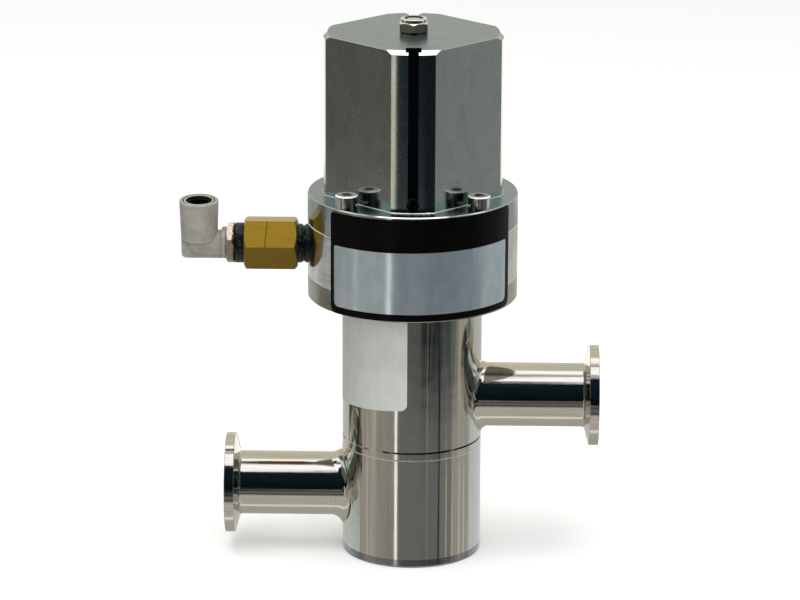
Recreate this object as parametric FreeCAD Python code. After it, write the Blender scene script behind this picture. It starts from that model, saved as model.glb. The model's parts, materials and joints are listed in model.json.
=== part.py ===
import FreeCAD, Part
import math
import os

# In-line vacuum valve, opened by compressed air and closed by a spring.
# Millimetres. The origin is the centre of the body's underside. +Z runs up the stem, +X towards the
# outlet (the higher port), -X towards the inlet and the air fitting, and -Y is the front.

# body: a tube with a welded base, a seat ring welded in half way up, and two drawn port collars
body_diameter = 55.0
body_wall = 2.0
base_thickness = 3.4
base_edge_round = 0.8
base_spigot_height = 1.5
seat_ring_bottom = 44.3
seat_ring_thickness = 3.7
seat_bore = 26.0
seat_register_height = 1.0
seat_edge_round = 0.4
seam_groove_width = 0.35
body_height = 105.4

# ports: tube stubs with clamped vacuum flanges of the 25 mm size
inlet_height = 26.0
outlet_height = 64.0
inlet_blend = 5.0
outlet_blend = 3.2
port_tube_diameter = 25.4
port_tube_wall = 1.65
collar_reach = 35.2
port_reach = 74.0
port_flange_diameter = 40.0
port_flange_rim = 3.8
port_flange_back_angle = 15.0
port_flange_edge_round = 0.3
port_flange_root_round = 1.0
centring_bore = 26.2
centring_depth = 3.0

# round stack: body flange, air ring, and the flange at the foot of the actuator block
stack_diameter = 82.4
body_flange_thickness = 8.6
air_ring_height = 21.5
block_flange_thickness = 11.7
stack_edge_bevel = 0.4
stack_seam_bevel = 0.25
stack_turn = 0.9

# actuator block: a square with its corners turned off, bored for the piston; it steps in from the
# edge of its flange
block_flat_step = 11.2
block_corner_step = 6.2
block_height = 63.6
block_corner_bevel = 1.6
block_top_bevel = 0.35
block_foot_cove = 0.5
roof_thickness = 6.8
roof_boss_diameter = 20.0
roof_boss_height = 6.0

# sensor slots in the front and back corners
slot_neck_width = 4.0
slot_width = 6.0
slot_lip_depth = 1.0
slot_depth = 6.1
slot_end_diameter = 4.8
slot_end_height = 3.3
slot_undercut_gap = 2.4

# vent at the foot of the front slot, from the spring chamber to the air outside
vent_screw_length = 6.0
vent_screw_recess = 2.4
vent_socket_width = 2.5
vent_socket_depth = 2.5
vent_hole = 2.0

# four socket head screws hold the stack together
screw_rim_distance = 5.1
screw_count = 4
screw_from_corner = 45.0
screw_thread = 5.0
screw_length = 40.0
screw_head_diameter = 8.7
screw_head_height = 5.0
screw_socket_width = 4.0
screw_socket_depth = 2.6
screw_head_bevel = 0.4
screw_hole = 5.5

# stem
stem_diameter = 10.0
stem_upper_diameter = 8.0
stem_end_thread = 6.0
stem_end_below_nut_top = 0.4
stem_shoulder_drop = 0.6
stem_end_bevel = 0.4

# poppet, its seal and the screw that holds it on the stem
poppet_diameter = 36.0
poppet_thickness = 6.0
poppet_edge_bevel = 0.8
poppet_seal_section = 3.0
poppet_seal_circle = 30.0
poppet_seal_proud = 0.5
poppet_seal_lift = 0.1
poppet_screw_thread = 5.0
poppet_screw_length = 14.0
poppet_washer_diameter = 14.0
poppet_washer_thickness = 1.5

# bellows between the stem's foot plate and its own flange
bellows_diameter = 34.0
bellows_fold_depth = 5.5
bellows_sheet = 0.9
bellows_folds = 9
bellows_foot_thickness = 2.5
bellows_flange_screw_margin = 6.6
bellows_flange_thickness = 3.0
bellows_hub_height = 4.0
bellows_hub_diameter = 25.0
bellows_flange_bore = 12.0
bonnet_seal_section = 1.8
bonnet_seal_rim_distance = 1.7

# air ring: floor, hub with the stem's guide and seal, and the air chamber round it
air_ring_floor = 6.0
hub_diameter = 26.0
hub_height = 17.0
chamber_step = 3.0
guide_diameter = 16.0
guide_lip = 1.0
guide_lip_width = 1.5
stem_seal_diameter = 18.0
stem_seal_height = 3.0
retainer_thickness = 1.0
retainer_bore = 12.0
air_port_diameter = 13.3
air_port_height = 11.4
cylinder_seal_section = 2.5
cylinder_seal_step = 3.5

# piston
cylinder_wall = 5.0
piston_height = 14.4
piston_rest_gap = 0.6
piston_land_gap = 0.3
piston_recess_step = 10.0
piston_recess_depth = 2.0
piston_seal_height = 2.8
piston_seal_depth = 3.0
piston_seal_above_bottom = 1.0
piston_ring_height = 2.6
piston_ring_depth = 1.3
piston_ring_below_top = 1.2
magnet_height = 3.0
magnet_depth = 2.6
magnet_above_bottom = 5.8
piston_washer_diameter = 16.0
piston_washer_thickness = 1.6
piston_nut_width = 13.0
piston_nut_height = 4.0

# return spring
spring_wire = 4.0
spring_clearance = 5.0
spring_turns = 6.0
spring_seat_depth = 2.0

# roof bush
roof_bush_diameter = 12.0
roof_bush_cover = 1.5
roof_hole_diameter = 8.8

# nut on the stem's end
nut_width = 10.8
nut_hex_height = 3.9
nut_collar_diameter = 10.2
nut_collar_height = 1.4
nut_rest_gap = 0.1
nut_insert_height = 1.3
nut_insert_diameter = 7.6
nut_turn = 0.0

# air fitting: brass adapter, plated stud, swivelling plastic elbow
adapter_hex_width = 19.0
adapter_hex_gap = 3.9
adapter_hex_length = 21.0
adapter_face_elevation = 35.4
adapter_thread_length = 14.0
adapter_socket_depth = 11.0
air_thread = 13.2
air_bore = 8.0
ring_sealant_diameter = 15.4
ring_sealant_waist = 14.0
ring_sealant_waist_reach = 1.5
stud_sealant_diameter = 15.8
stud_sealant_end_round = 0.8
stud_hex_width = 15.0
stud_face_elevation = 51.5
stud_hex_length = 3.2
stud_hex_gap = 3.8
stud_thread_length = 12.0
stud_spigot_diameter = 7.6
stud_spigot_length = 6.0
stud_bore = 4.6
stud_ridge_diameter = 8.4
stud_ridge_width = 0.6
stud_ridge_distance = 1.3
stud_seal_section = 0.8
stud_seal_distance = 4.0

elbow_reach = 10.5
elbow_lean = 4.5
elbow_barrel_diameter = 15.5
elbow_barrel_foot_diameter = 14.4
elbow_barrel_foot = 1.6
elbow_barrel_height = 17.6
elbow_pipe_diameter = 10.0
elbow_collar_diameter = 12.6
elbow_collar_width = 1.7
elbow_collar_step = 0.35
elbow_web_thickness = 3.0
elbow_web_drop = 6.1
elbow_web_edge = 0.1
elbow_web_overlap = 1.0
elbow_web_round = 2.0
elbow_lip_round = 0.5
elbow_stud_gap = 0.2

# push-in tube socket inside the elbow's barrel
tube_diameter = 8.0
tube_socket_gap = 0.1
tube_stop_height = 5.2
tube_guide_length = 2.4
elbow_way_diameter = 6.0
elbow_way_depth = 3.0
tube_seal_diameter = 11.2
tube_seal_height = 3.0
tube_seal_squeeze = 0.15
socket_diameter = 12.8
grip_thickness = 0.4
grip_teeth = 8
grip_tooth_gap = 0.8
grip_tooth_rise = 0.5
guide_ring_height = 4.1
guide_ring_bore = 10.5
guide_rim_diameter = 11.7
release_drop = 0.4
release_travel = 1.2
release_mouth = 9.8
release_mouth_depth = 0.9

# clearances between pieces, each on the radius or along the axis
running_gap = 0.05
fitted_gap = 0.05
register_gap = 0.1
seal_gap = 0.03

V = FreeCAD.Vector
ORIGIN = V(0, 0, 0)
UP = V(0, 0, 1)
full_turn = 360.0
quarter_turn = 90.0

# heights and radii that follow from the sizes above
body_radius = body_diameter / 2
body_inner_radius = body_radius - body_wall
port_tube_radius = port_tube_diameter / 2
port_bore_radius = port_tube_radius - port_tube_wall
port_flange_radius = port_flange_diameter / 2
centring_radius = centring_bore / 2
stack_radius = stack_diameter / 2
screw_circle = stack_diameter - 2 * screw_rim_distance
screw_first_angle = screw_from_corner + stack_turn
bellows_flange_diameter = screw_circle - 2 * bellows_flange_screw_margin
bonnet_seal_circle = bellows_flange_diameter - 2 * bonnet_seal_rim_distance
block_width = stack_diameter - 2 * block_flat_step
block_corner_radius = stack_radius - block_corner_step
seat_ring_top = seat_ring_bottom + seat_ring_thickness
seat_top = seat_ring_top + seat_register_height
body_flange_top = body_height + body_flange_thickness
air_ring_top = body_flange_top + air_ring_height
block_flange_top = air_ring_top + block_flange_thickness
block_top = block_flange_top + block_height
cylinder_radius = block_width / 2 - cylinder_wall
cylinder_seal_circle = 2 * (cylinder_radius + cylinder_seal_step)
chamber_diameter = 2 * (cylinder_radius - chamber_step)
piston_recess_diameter = 2 * (cylinder_radius - piston_recess_step)
roof_underside = block_top - roof_thickness
air_port_z = body_flange_top + air_port_height
poppet_bottom = seat_top + poppet_seal_lift + poppet_seal_proud
poppet_top = poppet_bottom + poppet_thickness
stem_radius = stem_diameter / 2
stem_upper_radius = stem_upper_diameter / 2
foot_top = poppet_top + bellows_foot_thickness
bellows_flange_bottom = body_flange_top - bellows_flange_thickness
bellows_top = bellows_flange_bottom - bellows_hub_height
hub_top = body_flange_top + hub_height
piston_bottom = air_ring_top + piston_rest_gap
piston_top = piston_bottom + piston_height
spring_outer_radius = cylinder_radius - spring_clearance
spring_mean_radius = spring_outer_radius - spring_wire / 2
nut_bottom = block_top + nut_rest_gap
nut_top = nut_bottom + nut_hex_height + nut_collar_height
barrel_top = air_port_z + elbow_barrel_height
barrel_foot = air_port_z + elbow_barrel_foot
adapter_hex_start = stack_radius + adapter_hex_gap
adapter_hex_end = adapter_hex_start + adapter_hex_length
stud_hex_start = adapter_hex_end + stud_hex_gap
stud_hex_end = stud_hex_start + stud_hex_length
elbow_face = stud_hex_end + elbow_stud_gap
elbow_axis_distance = elbow_face + elbow_reach
air_thread_radius = air_thread / 2


def corner_arc(before, at, after, radius):
    # the arc that rounds one corner of an outline, from one side to the other
    back = (before - at).normalize()
    ahead = (after - at).normalize()
    half = back.getAngle(ahead) / 2
    reach = radius / math.tan(half)
    inwards = (back + ahead).normalize()
    middle = at + inwards * (radius / math.sin(half) - radius)
    return Part.Arc(at + back * reach, middle, at + ahead * reach)


def outline(corners):
    # a face in the XZ plane; a corner is (across, up), or (across, up, radius) where it is rounded
    points = [V(corner[0], 0, corner[1]) for corner in corners]
    arcs = {}
    for i, corner in enumerate(corners):
        if len(corner) == 3:
            arcs[i] = corner_arc(points[i - 1], points[i], points[(i + 1) % len(points)], corner[2])
    edges = []
    for i, point in enumerate(points):
        following = (i + 1) % len(points)
        start = arcs[i].EndPoint if i in arcs else point
        end = arcs[following].StartPoint if following in arcs else points[following]
        if i in arcs:
            edges.append(arcs[i].toShape())
        if start.distanceToPoint(end) > 1e-6:
            edges.append(Part.makeLine(start, end))
    return Part.Face(Part.Wire(edges))


def turned(corners):
    return outline(corners).revolve(ORIGIN, UP, full_turn)


def rod(radius, bottom, top, x=0.0, y=0.0):
    return Part.makeCylinder(radius, top - bottom, V(x, y, bottom))


def ring(outer, inner, bottom, top):
    return rod(outer, bottom, top).cut(rod(inner, bottom, top))


def torus(circle_radius, section_radius, height):
    return Part.makeTorus(circle_radius, section_radius, V(0, 0, height))


def along_x(shape, height, side):
    # lays a piece that was turned about Z along X, with its Z running outwards on the given side
    laid = shape.copy()
    laid.rotate(ORIGIN, V(0, 1, 0), 90 * side)
    laid.translate(V(0, 0, height))
    return laid


def hexagon(width, bottom, top, turn=0.0):
    # hexagonal bar with one flat facing the angle turn
    corner_radius = width / math.sqrt(3)
    angles = [math.radians(turn + 30 + 60 * i) for i in range(7)]
    corners = [V(corner_radius * math.cos(a), corner_radius * math.sin(a), bottom) for a in angles]
    return Part.Face(Part.makePolygon(corners)).extrude(V(0, 0, top - bottom))


def bevelled_hexagon(width, bottom, top, turn=0.0, bevel_bottom=True, bevel_top=True):
    # hexagonal bar with its ends turned to a 30 degree bevel
    outer = width / math.sqrt(3) + 0.01
    end = 0.95 * width / 2
    bevel = (outer - end) * math.tan(math.radians(30))
    low = [(end, bottom), (outer, bottom + bevel)] if bevel_bottom else [(outer, bottom)]
    high = [(outer, top - bevel), (end, top)] if bevel_top else [(outer, top)]
    return hexagon(width, bottom, top, turn).common(turned([(0, bottom)] + low + high + [(0, top)]))


def socket_screw(thread, length, head_diameter, head_height, socket_width, socket_depth):
    # socket head screw standing on its head's underside at height 0, thread downwards
    head = head_diameter / 2
    shank = thread / 2
    solid = turned([
        (0, -length), (shank - screw_head_bevel, -length), (shank, screw_head_bevel - length), (shank, 0),
        (head, 0), (head, head_height - screw_head_bevel), (head - screw_head_bevel, head_height),
        (0, head_height),
    ])
    return solid.cut(hexagon(socket_width, head_height - socket_depth, head_height))


def around(shape, count, first_angle):
    # copies of a shape turned evenly about Z
    copies = []
    for i in range(count):
        copy = shape.copy()
        copy.rotate(ORIGIN, UP, first_angle + i * full_turn / count)
        copies.append(copy)
    return copies


def blended(shape, radius):
    # rounds the curve where a collar meets the body tube
    seams = [edge for edge in shape.Edges if edge.Curve.TypeId == "Part::GeomBSplineCurve"]
    return shape.makeFillet(radius, seams)


# body

def make_bottom_cap():
    spigot = body_inner_radius - fitted_gap
    return turned([
        (0, 0), (body_radius, 0, base_edge_round), (body_radius, base_thickness),
        (spigot, base_thickness), (spigot, base_thickness + base_spigot_height),
        (0, base_thickness + base_spigot_height),
    ])


def make_body_shell(bottom, top, port_height, side, blend):
    # tube with one collar drawn outwards from it, its wall turned over at the collar's root
    collar = along_x(rod(port_tube_radius, 0, collar_reach), port_height, side)
    collar_bore = along_x(rod(port_bore_radius, 0, collar_reach), port_height, side)
    outside = rod(body_radius, bottom, top).fuse(collar)
    inside = rod(body_inner_radius, bottom, top).fuse(collar_bore)
    return blended(outside, blend).cut(blended(inside, blend + body_wall))


def make_seat_ring():
    register = body_inner_radius - register_gap
    groove = body_radius - seam_groove_width
    return turned([
        (seat_bore / 2, seat_ring_bottom - seat_register_height),
        (register, seat_ring_bottom - seat_register_height), (register, seat_ring_bottom),
        (body_radius, seat_ring_bottom), (body_radius, seat_ring_top - seam_groove_width),
        (groove, seat_ring_top), (register, seat_ring_top), (register, seat_top),
        (seat_bore / 2, seat_top, seat_edge_round),
    ])


def make_port(height, side):
    # tube stub with its flange: flat face, narrow rim, tapered back, counterbore for the centring ring
    rim_start = port_reach - port_flange_rim
    slope = math.tan(math.radians(port_flange_back_angle))
    taper_start = rim_start - (port_flange_radius - port_tube_radius) * slope
    stub = turned([
        (port_bore_radius, collar_reach), (port_tube_radius, collar_reach),
        (port_tube_radius, taper_start, port_flange_root_round),
        (port_flange_radius, rim_start, port_flange_edge_round),
        (port_flange_radius, port_reach, port_flange_edge_round),
        (centring_radius, port_reach), (centring_radius, port_reach - centring_depth),
        (port_bore_radius, port_reach - centring_depth),
    ])
    return along_x(stub, height, side)


# stack

def screw_holes(radius, bottom, top):
    return around(rod(radius, bottom, top, screw_circle / 2), screw_count, screw_first_angle)


def make_body_flange():
    recess = bellows_flange_diameter / 2 + register_gap
    groove = bonnet_seal_section + 2 * fitted_gap
    groove_middle = bonnet_seal_circle / 2
    flange = turned([
        (body_inner_radius, body_height), (stack_radius - stack_edge_bevel, body_height),
        (stack_radius, body_height + stack_edge_bevel),
        (stack_radius, body_flange_top - stack_seam_bevel),
        (stack_radius - stack_seam_bevel, body_flange_top),
        (recess, body_flange_top), (recess, bellows_flange_bottom),
        (body_inner_radius, bellows_flange_bottom),
    ])
    seal_groove = ring(groove_middle + groove / 2, groove_middle - groove / 2,
                       bellows_flange_bottom - groove, bellows_flange_bottom)
    threads = screw_holes(screw_thread / 2 + fitted_gap, body_height, body_flange_top)
    return flange.cut([seal_groove] + threads)


def make_bonnet_seal():
    section = bonnet_seal_section / 2
    return torus(bonnet_seal_circle / 2, section, bellows_flange_bottom - fitted_gap - section)


def make_bellows_flange():
    rim = bellows_flange_diameter / 2
    hub = bellows_hub_diameter / 2
    bore = bellows_flange_bore / 2
    return turned([
        (bore, bellows_top), (hub, bellows_top), (hub, bellows_flange_bottom, 1.0),
        (rim, bellows_flange_bottom), (rim, body_flange_top), (bore, body_flange_top),
    ])


def make_air_ring():
    floor_top = body_flange_top + air_ring_floor
    seal_pocket = hub_top - retainer_thickness - stem_seal_height
    guide_pocket = body_flange_top + guide_lip
    guide_hole = guide_diameter / 2 + fitted_gap
    lip_hole = guide_diameter / 2 - guide_lip_width
    pocket = stem_seal_diameter / 2 + fitted_gap
    body = turned([
        (lip_hole, body_flange_top), (stack_radius, body_flange_top),
        (stack_radius, air_ring_top - stack_edge_bevel),
        (stack_radius - stack_edge_bevel, air_ring_top),
        (chamber_diameter / 2, air_ring_top), (chamber_diameter / 2, floor_top, 1.5),
        (hub_diameter / 2, floor_top, 1.5), (hub_diameter / 2, hub_top, 0.5), (pocket, hub_top),
        (pocket, seal_pocket), (guide_hole, seal_pocket), (guide_hole, guide_pocket),
        (lip_hole, guide_pocket),
    ])
    port = along_x(rod(air_port_diameter / 2, chamber_diameter / 2 - 1, stack_radius), air_port_z, -1)
    groove = cylinder_seal_section + 2 * fitted_gap
    middle = cylinder_seal_circle / 2
    seal_groove = ring(middle + groove / 2, middle - groove / 2, air_ring_top - groove, air_ring_top)
    return body.cut([port, seal_groove] + screw_holes(screw_hole / 2, body_flange_top, air_ring_top))


def make_cylinder_seal():
    section = cylinder_seal_section / 2
    return torus(cylinder_seal_circle / 2, section, air_ring_top - fitted_gap - section)


def make_stem_guide():
    top = hub_top - retainer_thickness - stem_seal_height
    return turned([
        (stem_radius + running_gap, body_flange_top + guide_lip, 0.3),
        (guide_diameter / 2, body_flange_top + guide_lip, 0.3),
        (guide_diameter / 2, top), (stem_radius + running_gap, top, 0.3),
    ])


def make_stem_seal():
    # lip seal, its open side up towards the air chamber
    bottom = hub_top - retainer_thickness - stem_seal_height
    inner = stem_radius + seal_gap
    outer = stem_seal_diameter / 2
    middle = (inner + outer) / 2
    lip = 0.7
    return turned([
        (inner + 0.3, bottom), (outer, bottom), (outer, bottom + stem_seal_height),
        (outer - lip, bottom + stem_seal_height), (middle, bottom + stem_seal_height / 2, 0.4),
        (inner + lip, bottom + stem_seal_height), (inner, bottom + stem_seal_height),
    ])


def make_seal_retainer():
    # internal snap ring with its gap
    bottom = hub_top - retainer_thickness
    circle = ring(stem_seal_diameter / 2, retainer_bore / 2, bottom, hub_top)
    return circle.cut(Part.makeBox(stem_seal_diameter, 3, retainer_thickness, V(0, -1.5, bottom)))


# actuator block

def sensor_slot(foot_depth):
    # the space of one slot on the +X side: neck, wide back, and the round hole at the foot
    face = block_corner_radius
    back = face - slot_depth
    foot = block_flange_top + slot_end_height
    neck = Part.makeBox(slot_depth + 1, slot_neck_width, block_top - foot,
                        V(back, -slot_neck_width / 2, foot))
    wide_foot = foot + slot_undercut_gap
    wide = Part.makeBox(slot_depth - slot_lip_depth, slot_width, block_top - wide_foot,
                        V(back, -slot_width / 2, wide_foot))
    hole = Part.makeCylinder(slot_end_diameter / 2, foot_depth + 1,
                             V(face - foot_depth, 0, foot), V(1, 0, 0))
    return neck.fuse([wide, hole])


def turned_about_z(shape, angle):
    copy = shape.copy()
    copy.rotate(ORIGIN, UP, angle)
    return copy


def make_square_body():
    # square prism, top edges broken, standing on its corners towards X and Y
    half = block_width / 2
    prism = Part.makeBox(block_width, block_width, block_height, V(-half, -half, block_flange_top))
    top_edges = [edge for edge in prism.Edges
                 if min(vertex.Z for vertex in edge.Vertexes) > block_top - fitted_gap]
    return turned_about_z(prism.makeChamfer(block_top_bevel, top_edges), full_turn / 8 + stack_turn)


def coved(solid):
    # a small cove all round the foot of the square body, where it stands on its flange
    foot = [edge for edge in solid.Edges
            if all(abs(vertex.Z - block_flange_top) < fitted_gap for vertex in edge.Vertexes)
            and all(math.hypot(vertex.X, vertex.Y) < block_corner_radius + fitted_gap
                    for vertex in edge.Vertexes)]
    return solid.makeFillet(block_foot_cove, foot)


def make_actuator_block():
    corner = block_corner_radius
    turned_limit = turned([
        (0, block_flange_top), (corner, block_flange_top), (corner, block_top - block_corner_bevel),
        (corner - block_corner_bevel, block_top), (0, block_top),
    ])
    flange = turned([
        (0, air_ring_top), (stack_radius - stack_seam_bevel, air_ring_top),
        (stack_radius, air_ring_top + stack_seam_bevel), (stack_radius, block_flange_top - stack_edge_bevel),
        (stack_radius - stack_edge_bevel, block_flange_top), (0, block_flange_top),
    ])
    boss_bottom = roof_underside - roof_boss_height
    bush_hole = roof_bush_diameter / 2 + fitted_gap
    cylinder = turned([
        (0, air_ring_top), (cylinder_radius, air_ring_top), (cylinder_radius, roof_underside, 1.0),
        (roof_boss_diameter / 2, roof_underside, 1.0), (roof_boss_diameter / 2, boss_bottom),
        (bush_hole, boss_bottom), (bush_hole, block_top - roof_bush_cover),
        (roof_hole_diameter / 2, block_top - roof_bush_cover), (roof_hole_diameter / 2, block_top),
        (0, block_top),
    ])
    vent_depth = vent_screw_recess + vent_screw_length + fitted_gap
    front_slot = turned_about_z(sensor_slot(vent_depth), stack_turn - quarter_turn)
    back_slot = turned_about_z(sensor_slot(slot_depth), stack_turn + quarter_turn)
    vent_z = block_flange_top + slot_end_height
    vent = turned_about_z(Part.makeCylinder(vent_hole / 2, corner, V(0, 0, vent_z), V(0, -1, 0)), stack_turn)
    holes = screw_holes(screw_hole / 2, air_ring_top, block_flange_top)
    solid = coved(make_square_body().common(turned_limit).fuse(flange))
    return solid.cut([cylinder, front_slot, back_slot, vent] + holes)


def make_roof_bush():
    bottom = roof_underside - roof_boss_height
    return ring(roof_bush_diameter / 2, stem_upper_radius + running_gap, bottom, block_top - roof_bush_cover)


def make_vent_screw():
    # hollow grub screw, its socket outwards
    length = vent_screw_length
    body = rod(slot_end_diameter / 2 - fitted_gap, 0, length)
    socket = hexagon(vent_socket_width, length - vent_socket_depth, length)
    screw = body.cut([socket, rod(vent_hole / 3, 0, length)])
    screw.rotate(ORIGIN, V(1, 0, 0), 90)
    foot = length + vent_screw_recess - block_corner_radius
    screw.translate(V(0, foot, block_flange_top + slot_end_height))
    return turned_about_z(screw, stack_turn)


def make_cap_screws():
    screw = socket_screw(screw_thread, screw_length, screw_head_diameter, screw_head_height,
                         screw_socket_width, screw_socket_depth)
    screw.translate(V(screw_circle / 2, 0, block_flange_top))
    return Part.makeCompound(around(screw, screw_count, screw_first_angle))


# stem and poppet

def make_valve_stem():
    end = stem_end_thread / 2 - fitted_gap
    upper_end = block_top - stem_shoulder_drop
    thread_hole = poppet_screw_thread / 2 + fitted_gap
    hole_top = poppet_top + poppet_screw_length
    return turned([
        (thread_hole, poppet_top), (stem_radius, poppet_top), (stem_radius, piston_bottom),
        (stem_upper_radius, piston_bottom), (stem_upper_radius, upper_end), (end, upper_end),
        (end, nut_top - stem_end_below_nut_top - stem_end_bevel),
        (end - stem_end_bevel, nut_top - stem_end_below_nut_top), (0, nut_top - stem_end_below_nut_top),
        (0, hole_top), (thread_hole, hole_top),
    ])


def make_poppet():
    groove_width = poppet_seal_section + 2 * fitted_gap
    groove_depth = poppet_seal_section - poppet_seal_proud + fitted_gap
    middle = poppet_seal_circle / 2
    edge = poppet_diameter / 2
    disc = turned([
        (poppet_screw_thread / 2 + register_gap, poppet_bottom), (edge, poppet_bottom),
        (edge, poppet_top - poppet_edge_bevel), (edge - poppet_edge_bevel, poppet_top),
        (poppet_screw_thread / 2 + register_gap, poppet_top),
    ])
    return disc.cut(ring(middle + groove_width / 2, middle - groove_width / 2,
                         poppet_bottom, poppet_bottom + groove_depth))


def make_poppet_seal():
    section = poppet_seal_section / 2
    return torus(poppet_seal_circle / 2, section, seat_top + poppet_seal_lift + section)


def make_poppet_washer():
    return ring(poppet_washer_diameter / 2, poppet_screw_thread / 2 + register_gap,
                poppet_bottom - poppet_washer_thickness, poppet_bottom)


def make_poppet_screw():
    screw = socket_screw(poppet_screw_thread, poppet_screw_length, screw_head_diameter, screw_head_height,
                         screw_socket_width, screw_socket_depth)
    screw.rotate(ORIGIN, V(1, 0, 0), 180)
    screw.translate(V(0, 0, poppet_bottom - poppet_washer_thickness))
    return screw


def make_bellows_foot():
    return ring(bellows_diameter / 2, stem_radius + fitted_gap, poppet_top, foot_top)


def make_bellows():
    # one sheet folded in and out between the foot and the hub of its flange
    outer = bellows_diameter / 2
    rise = (bellows_top - foot_top) / (2 * bellows_folds)
    skin = []
    for i in range(2 * bellows_folds + 1):
        radius = outer if i % 2 else outer - bellows_fold_depth
        skin.append((radius, foot_top + i * rise))
    lining = [(radius - bellows_sheet, height) for radius, height in reversed(skin)]
    return turned(skin + lining)


# piston

def make_piston():
    land = cylinder_radius - piston_land_gap
    seal_bottom = piston_bottom + piston_seal_above_bottom
    magnet_bottom = piston_bottom + magnet_above_bottom
    ring_top = piston_top - piston_ring_below_top
    spring_pocket = spring_outer_radius + piston_land_gap
    spring_core = spring_outer_radius - spring_wire - piston_land_gap
    bore = stem_upper_radius + fitted_gap
    body = turned([
        (bore, piston_bottom + piston_recess_depth),
        (piston_recess_diameter / 2, piston_bottom + piston_recess_depth),
        (piston_recess_diameter / 2, piston_bottom), (land, piston_bottom, 0.5), (land, piston_top, 0.5),
        (spring_pocket, piston_top), (spring_pocket, piston_top - spring_seat_depth),
        (spring_core, piston_top - spring_seat_depth), (spring_core, piston_top), (bore, piston_top),
    ])
    seal_groove = ring(cylinder_radius, land - piston_seal_depth,
                       seal_bottom, seal_bottom + piston_seal_height)
    magnet_groove = ring(cylinder_radius, land - magnet_depth, magnet_bottom, magnet_bottom + magnet_height)
    ring_groove = ring(cylinder_radius, land - piston_ring_depth, ring_top - piston_ring_height, ring_top)
    stem_seat = rod(stem_radius + fitted_gap, piston_bottom, piston_bottom + piston_recess_depth)
    return body.cut([seal_groove, magnet_groove, ring_groove, stem_seat])


def groove_filler(bottom, height, depth, outer):
    return ring(outer, cylinder_radius - piston_land_gap - depth + fitted_gap,
                bottom + fitted_gap, bottom + height - fitted_gap)


def make_piston_seal():
    # lip seal, its open side down towards the air chamber
    bottom = piston_bottom + piston_seal_above_bottom + fitted_gap
    height = piston_seal_height - 2 * fitted_gap
    outer = cylinder_radius - seal_gap
    inner = cylinder_radius - piston_land_gap - piston_seal_depth + fitted_gap
    lip = 0.9
    return turned([
        (inner, bottom), (inner + lip, bottom), ((inner + outer) / 2, bottom + height / 2, 0.4),
        (outer - lip, bottom), (outer, bottom), (outer - 0.3, bottom + height), (inner, bottom + height),
    ])


def make_piston_magnet():
    return groove_filler(piston_bottom + magnet_above_bottom, magnet_height, magnet_depth,
                         cylinder_radius - piston_land_gap)


def make_piston_guide_ring():
    bottom = piston_top - piston_ring_below_top - piston_ring_height
    return groove_filler(bottom, piston_ring_height, piston_ring_depth, cylinder_radius - running_gap)


def make_piston_washer():
    return ring(piston_washer_diameter / 2, stem_upper_radius + fitted_gap,
                piston_top, piston_top + piston_washer_thickness)


def make_piston_nut():
    bottom = piston_top + piston_washer_thickness
    nut = bevelled_hexagon(piston_nut_width, bottom, bottom + piston_nut_height)
    return nut.cut(rod(stem_upper_radius + fitted_gap, bottom, bottom + piston_nut_height))


def make_return_spring():
    # coil between the piston's groove and the roof
    bottom = piston_top - spring_seat_depth + spring_wire / 2
    height = roof_underside - spring_wire / 2 - bottom
    pitch = height / spring_turns
    path = Part.makeHelix(pitch, height, spring_mean_radius)
    along_wire = V(0, 2 * math.pi * spring_mean_radius, pitch)
    wire = Part.makeCircle(spring_wire / 2, V(spring_mean_radius, 0, 0), along_wire)
    coil = Part.Wire(path).makePipeShell([Part.Wire(wire)], True, True)
    coil.translate(V(0, 0, bottom))
    return coil


# nut on top

def make_stem_nut():
    hex_top = nut_bottom + nut_hex_height
    collar = nut_collar_diameter / 2
    body = bevelled_hexagon(nut_width, nut_bottom, hex_top, nut_turn)
    body = body.fuse(turned([
        (0, hex_top - nut_collar_height), (collar, hex_top - nut_collar_height), (collar, nut_top, 0.5),
        (0, nut_top),
    ]))
    insert = rod(nut_insert_diameter / 2, nut_top - nut_insert_height - 0.2, nut_top)
    return body.cut([insert, rod(stem_end_thread / 2, nut_bottom, nut_top)])


def make_nut_insert():
    top = nut_top - 0.2
    return ring(nut_insert_diameter / 2 - fitted_gap, stem_end_thread / 2, top - nut_insert_height, top)


# air fitting; distances run outwards along -X from the valve's axis

def make_brass_adapter():
    thread_end = adapter_hex_start - adapter_thread_length
    body = bevelled_hexagon(adapter_hex_width, adapter_hex_start, adapter_hex_end,
                            adapter_face_elevation - quarter_turn)
    body = body.fuse(rod(air_thread_radius, thread_end, adapter_hex_start + 1))
    socket = rod(air_thread_radius + fitted_gap, adapter_hex_end - adapter_socket_depth, adapter_hex_end)
    bore = rod(air_bore / 2, thread_end, adapter_hex_end)
    return along_x(body.cut([socket, bore]), air_port_z, -1)


def make_ring_sealant():
    # sealant squeezed out of the ring's thread, in two beads
    inner = air_thread_radius + fitted_gap
    bead = ring_sealant_diameter / 2
    waist = ring_sealant_waist / 2
    inner_end = stack_radius - 1.5
    waist_at = stack_radius + ring_sealant_waist_reach
    collar = turned([
        (inner, inner_end), (bead, inner_end), (bead, waist_at - 0.9, 0.5), (waist, waist_at, 0.3),
        (bead, waist_at + 0.9, 0.5), (bead, adapter_hex_start), (inner, adapter_hex_start),
    ])
    return along_x(collar, air_port_z, -1).cut(rod(stack_radius, body_flange_top, air_ring_top))


def make_stud_sealant():
    inner = air_thread_radius + fitted_gap
    outer = stud_sealant_diameter / 2
    collar = turned([
        (inner, adapter_hex_end), (outer, adapter_hex_end, stud_sealant_end_round),
        (outer, stud_hex_start, stud_sealant_end_round), (inner, stud_hex_start),
    ])
    return along_x(collar, air_port_z, -1)


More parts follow.
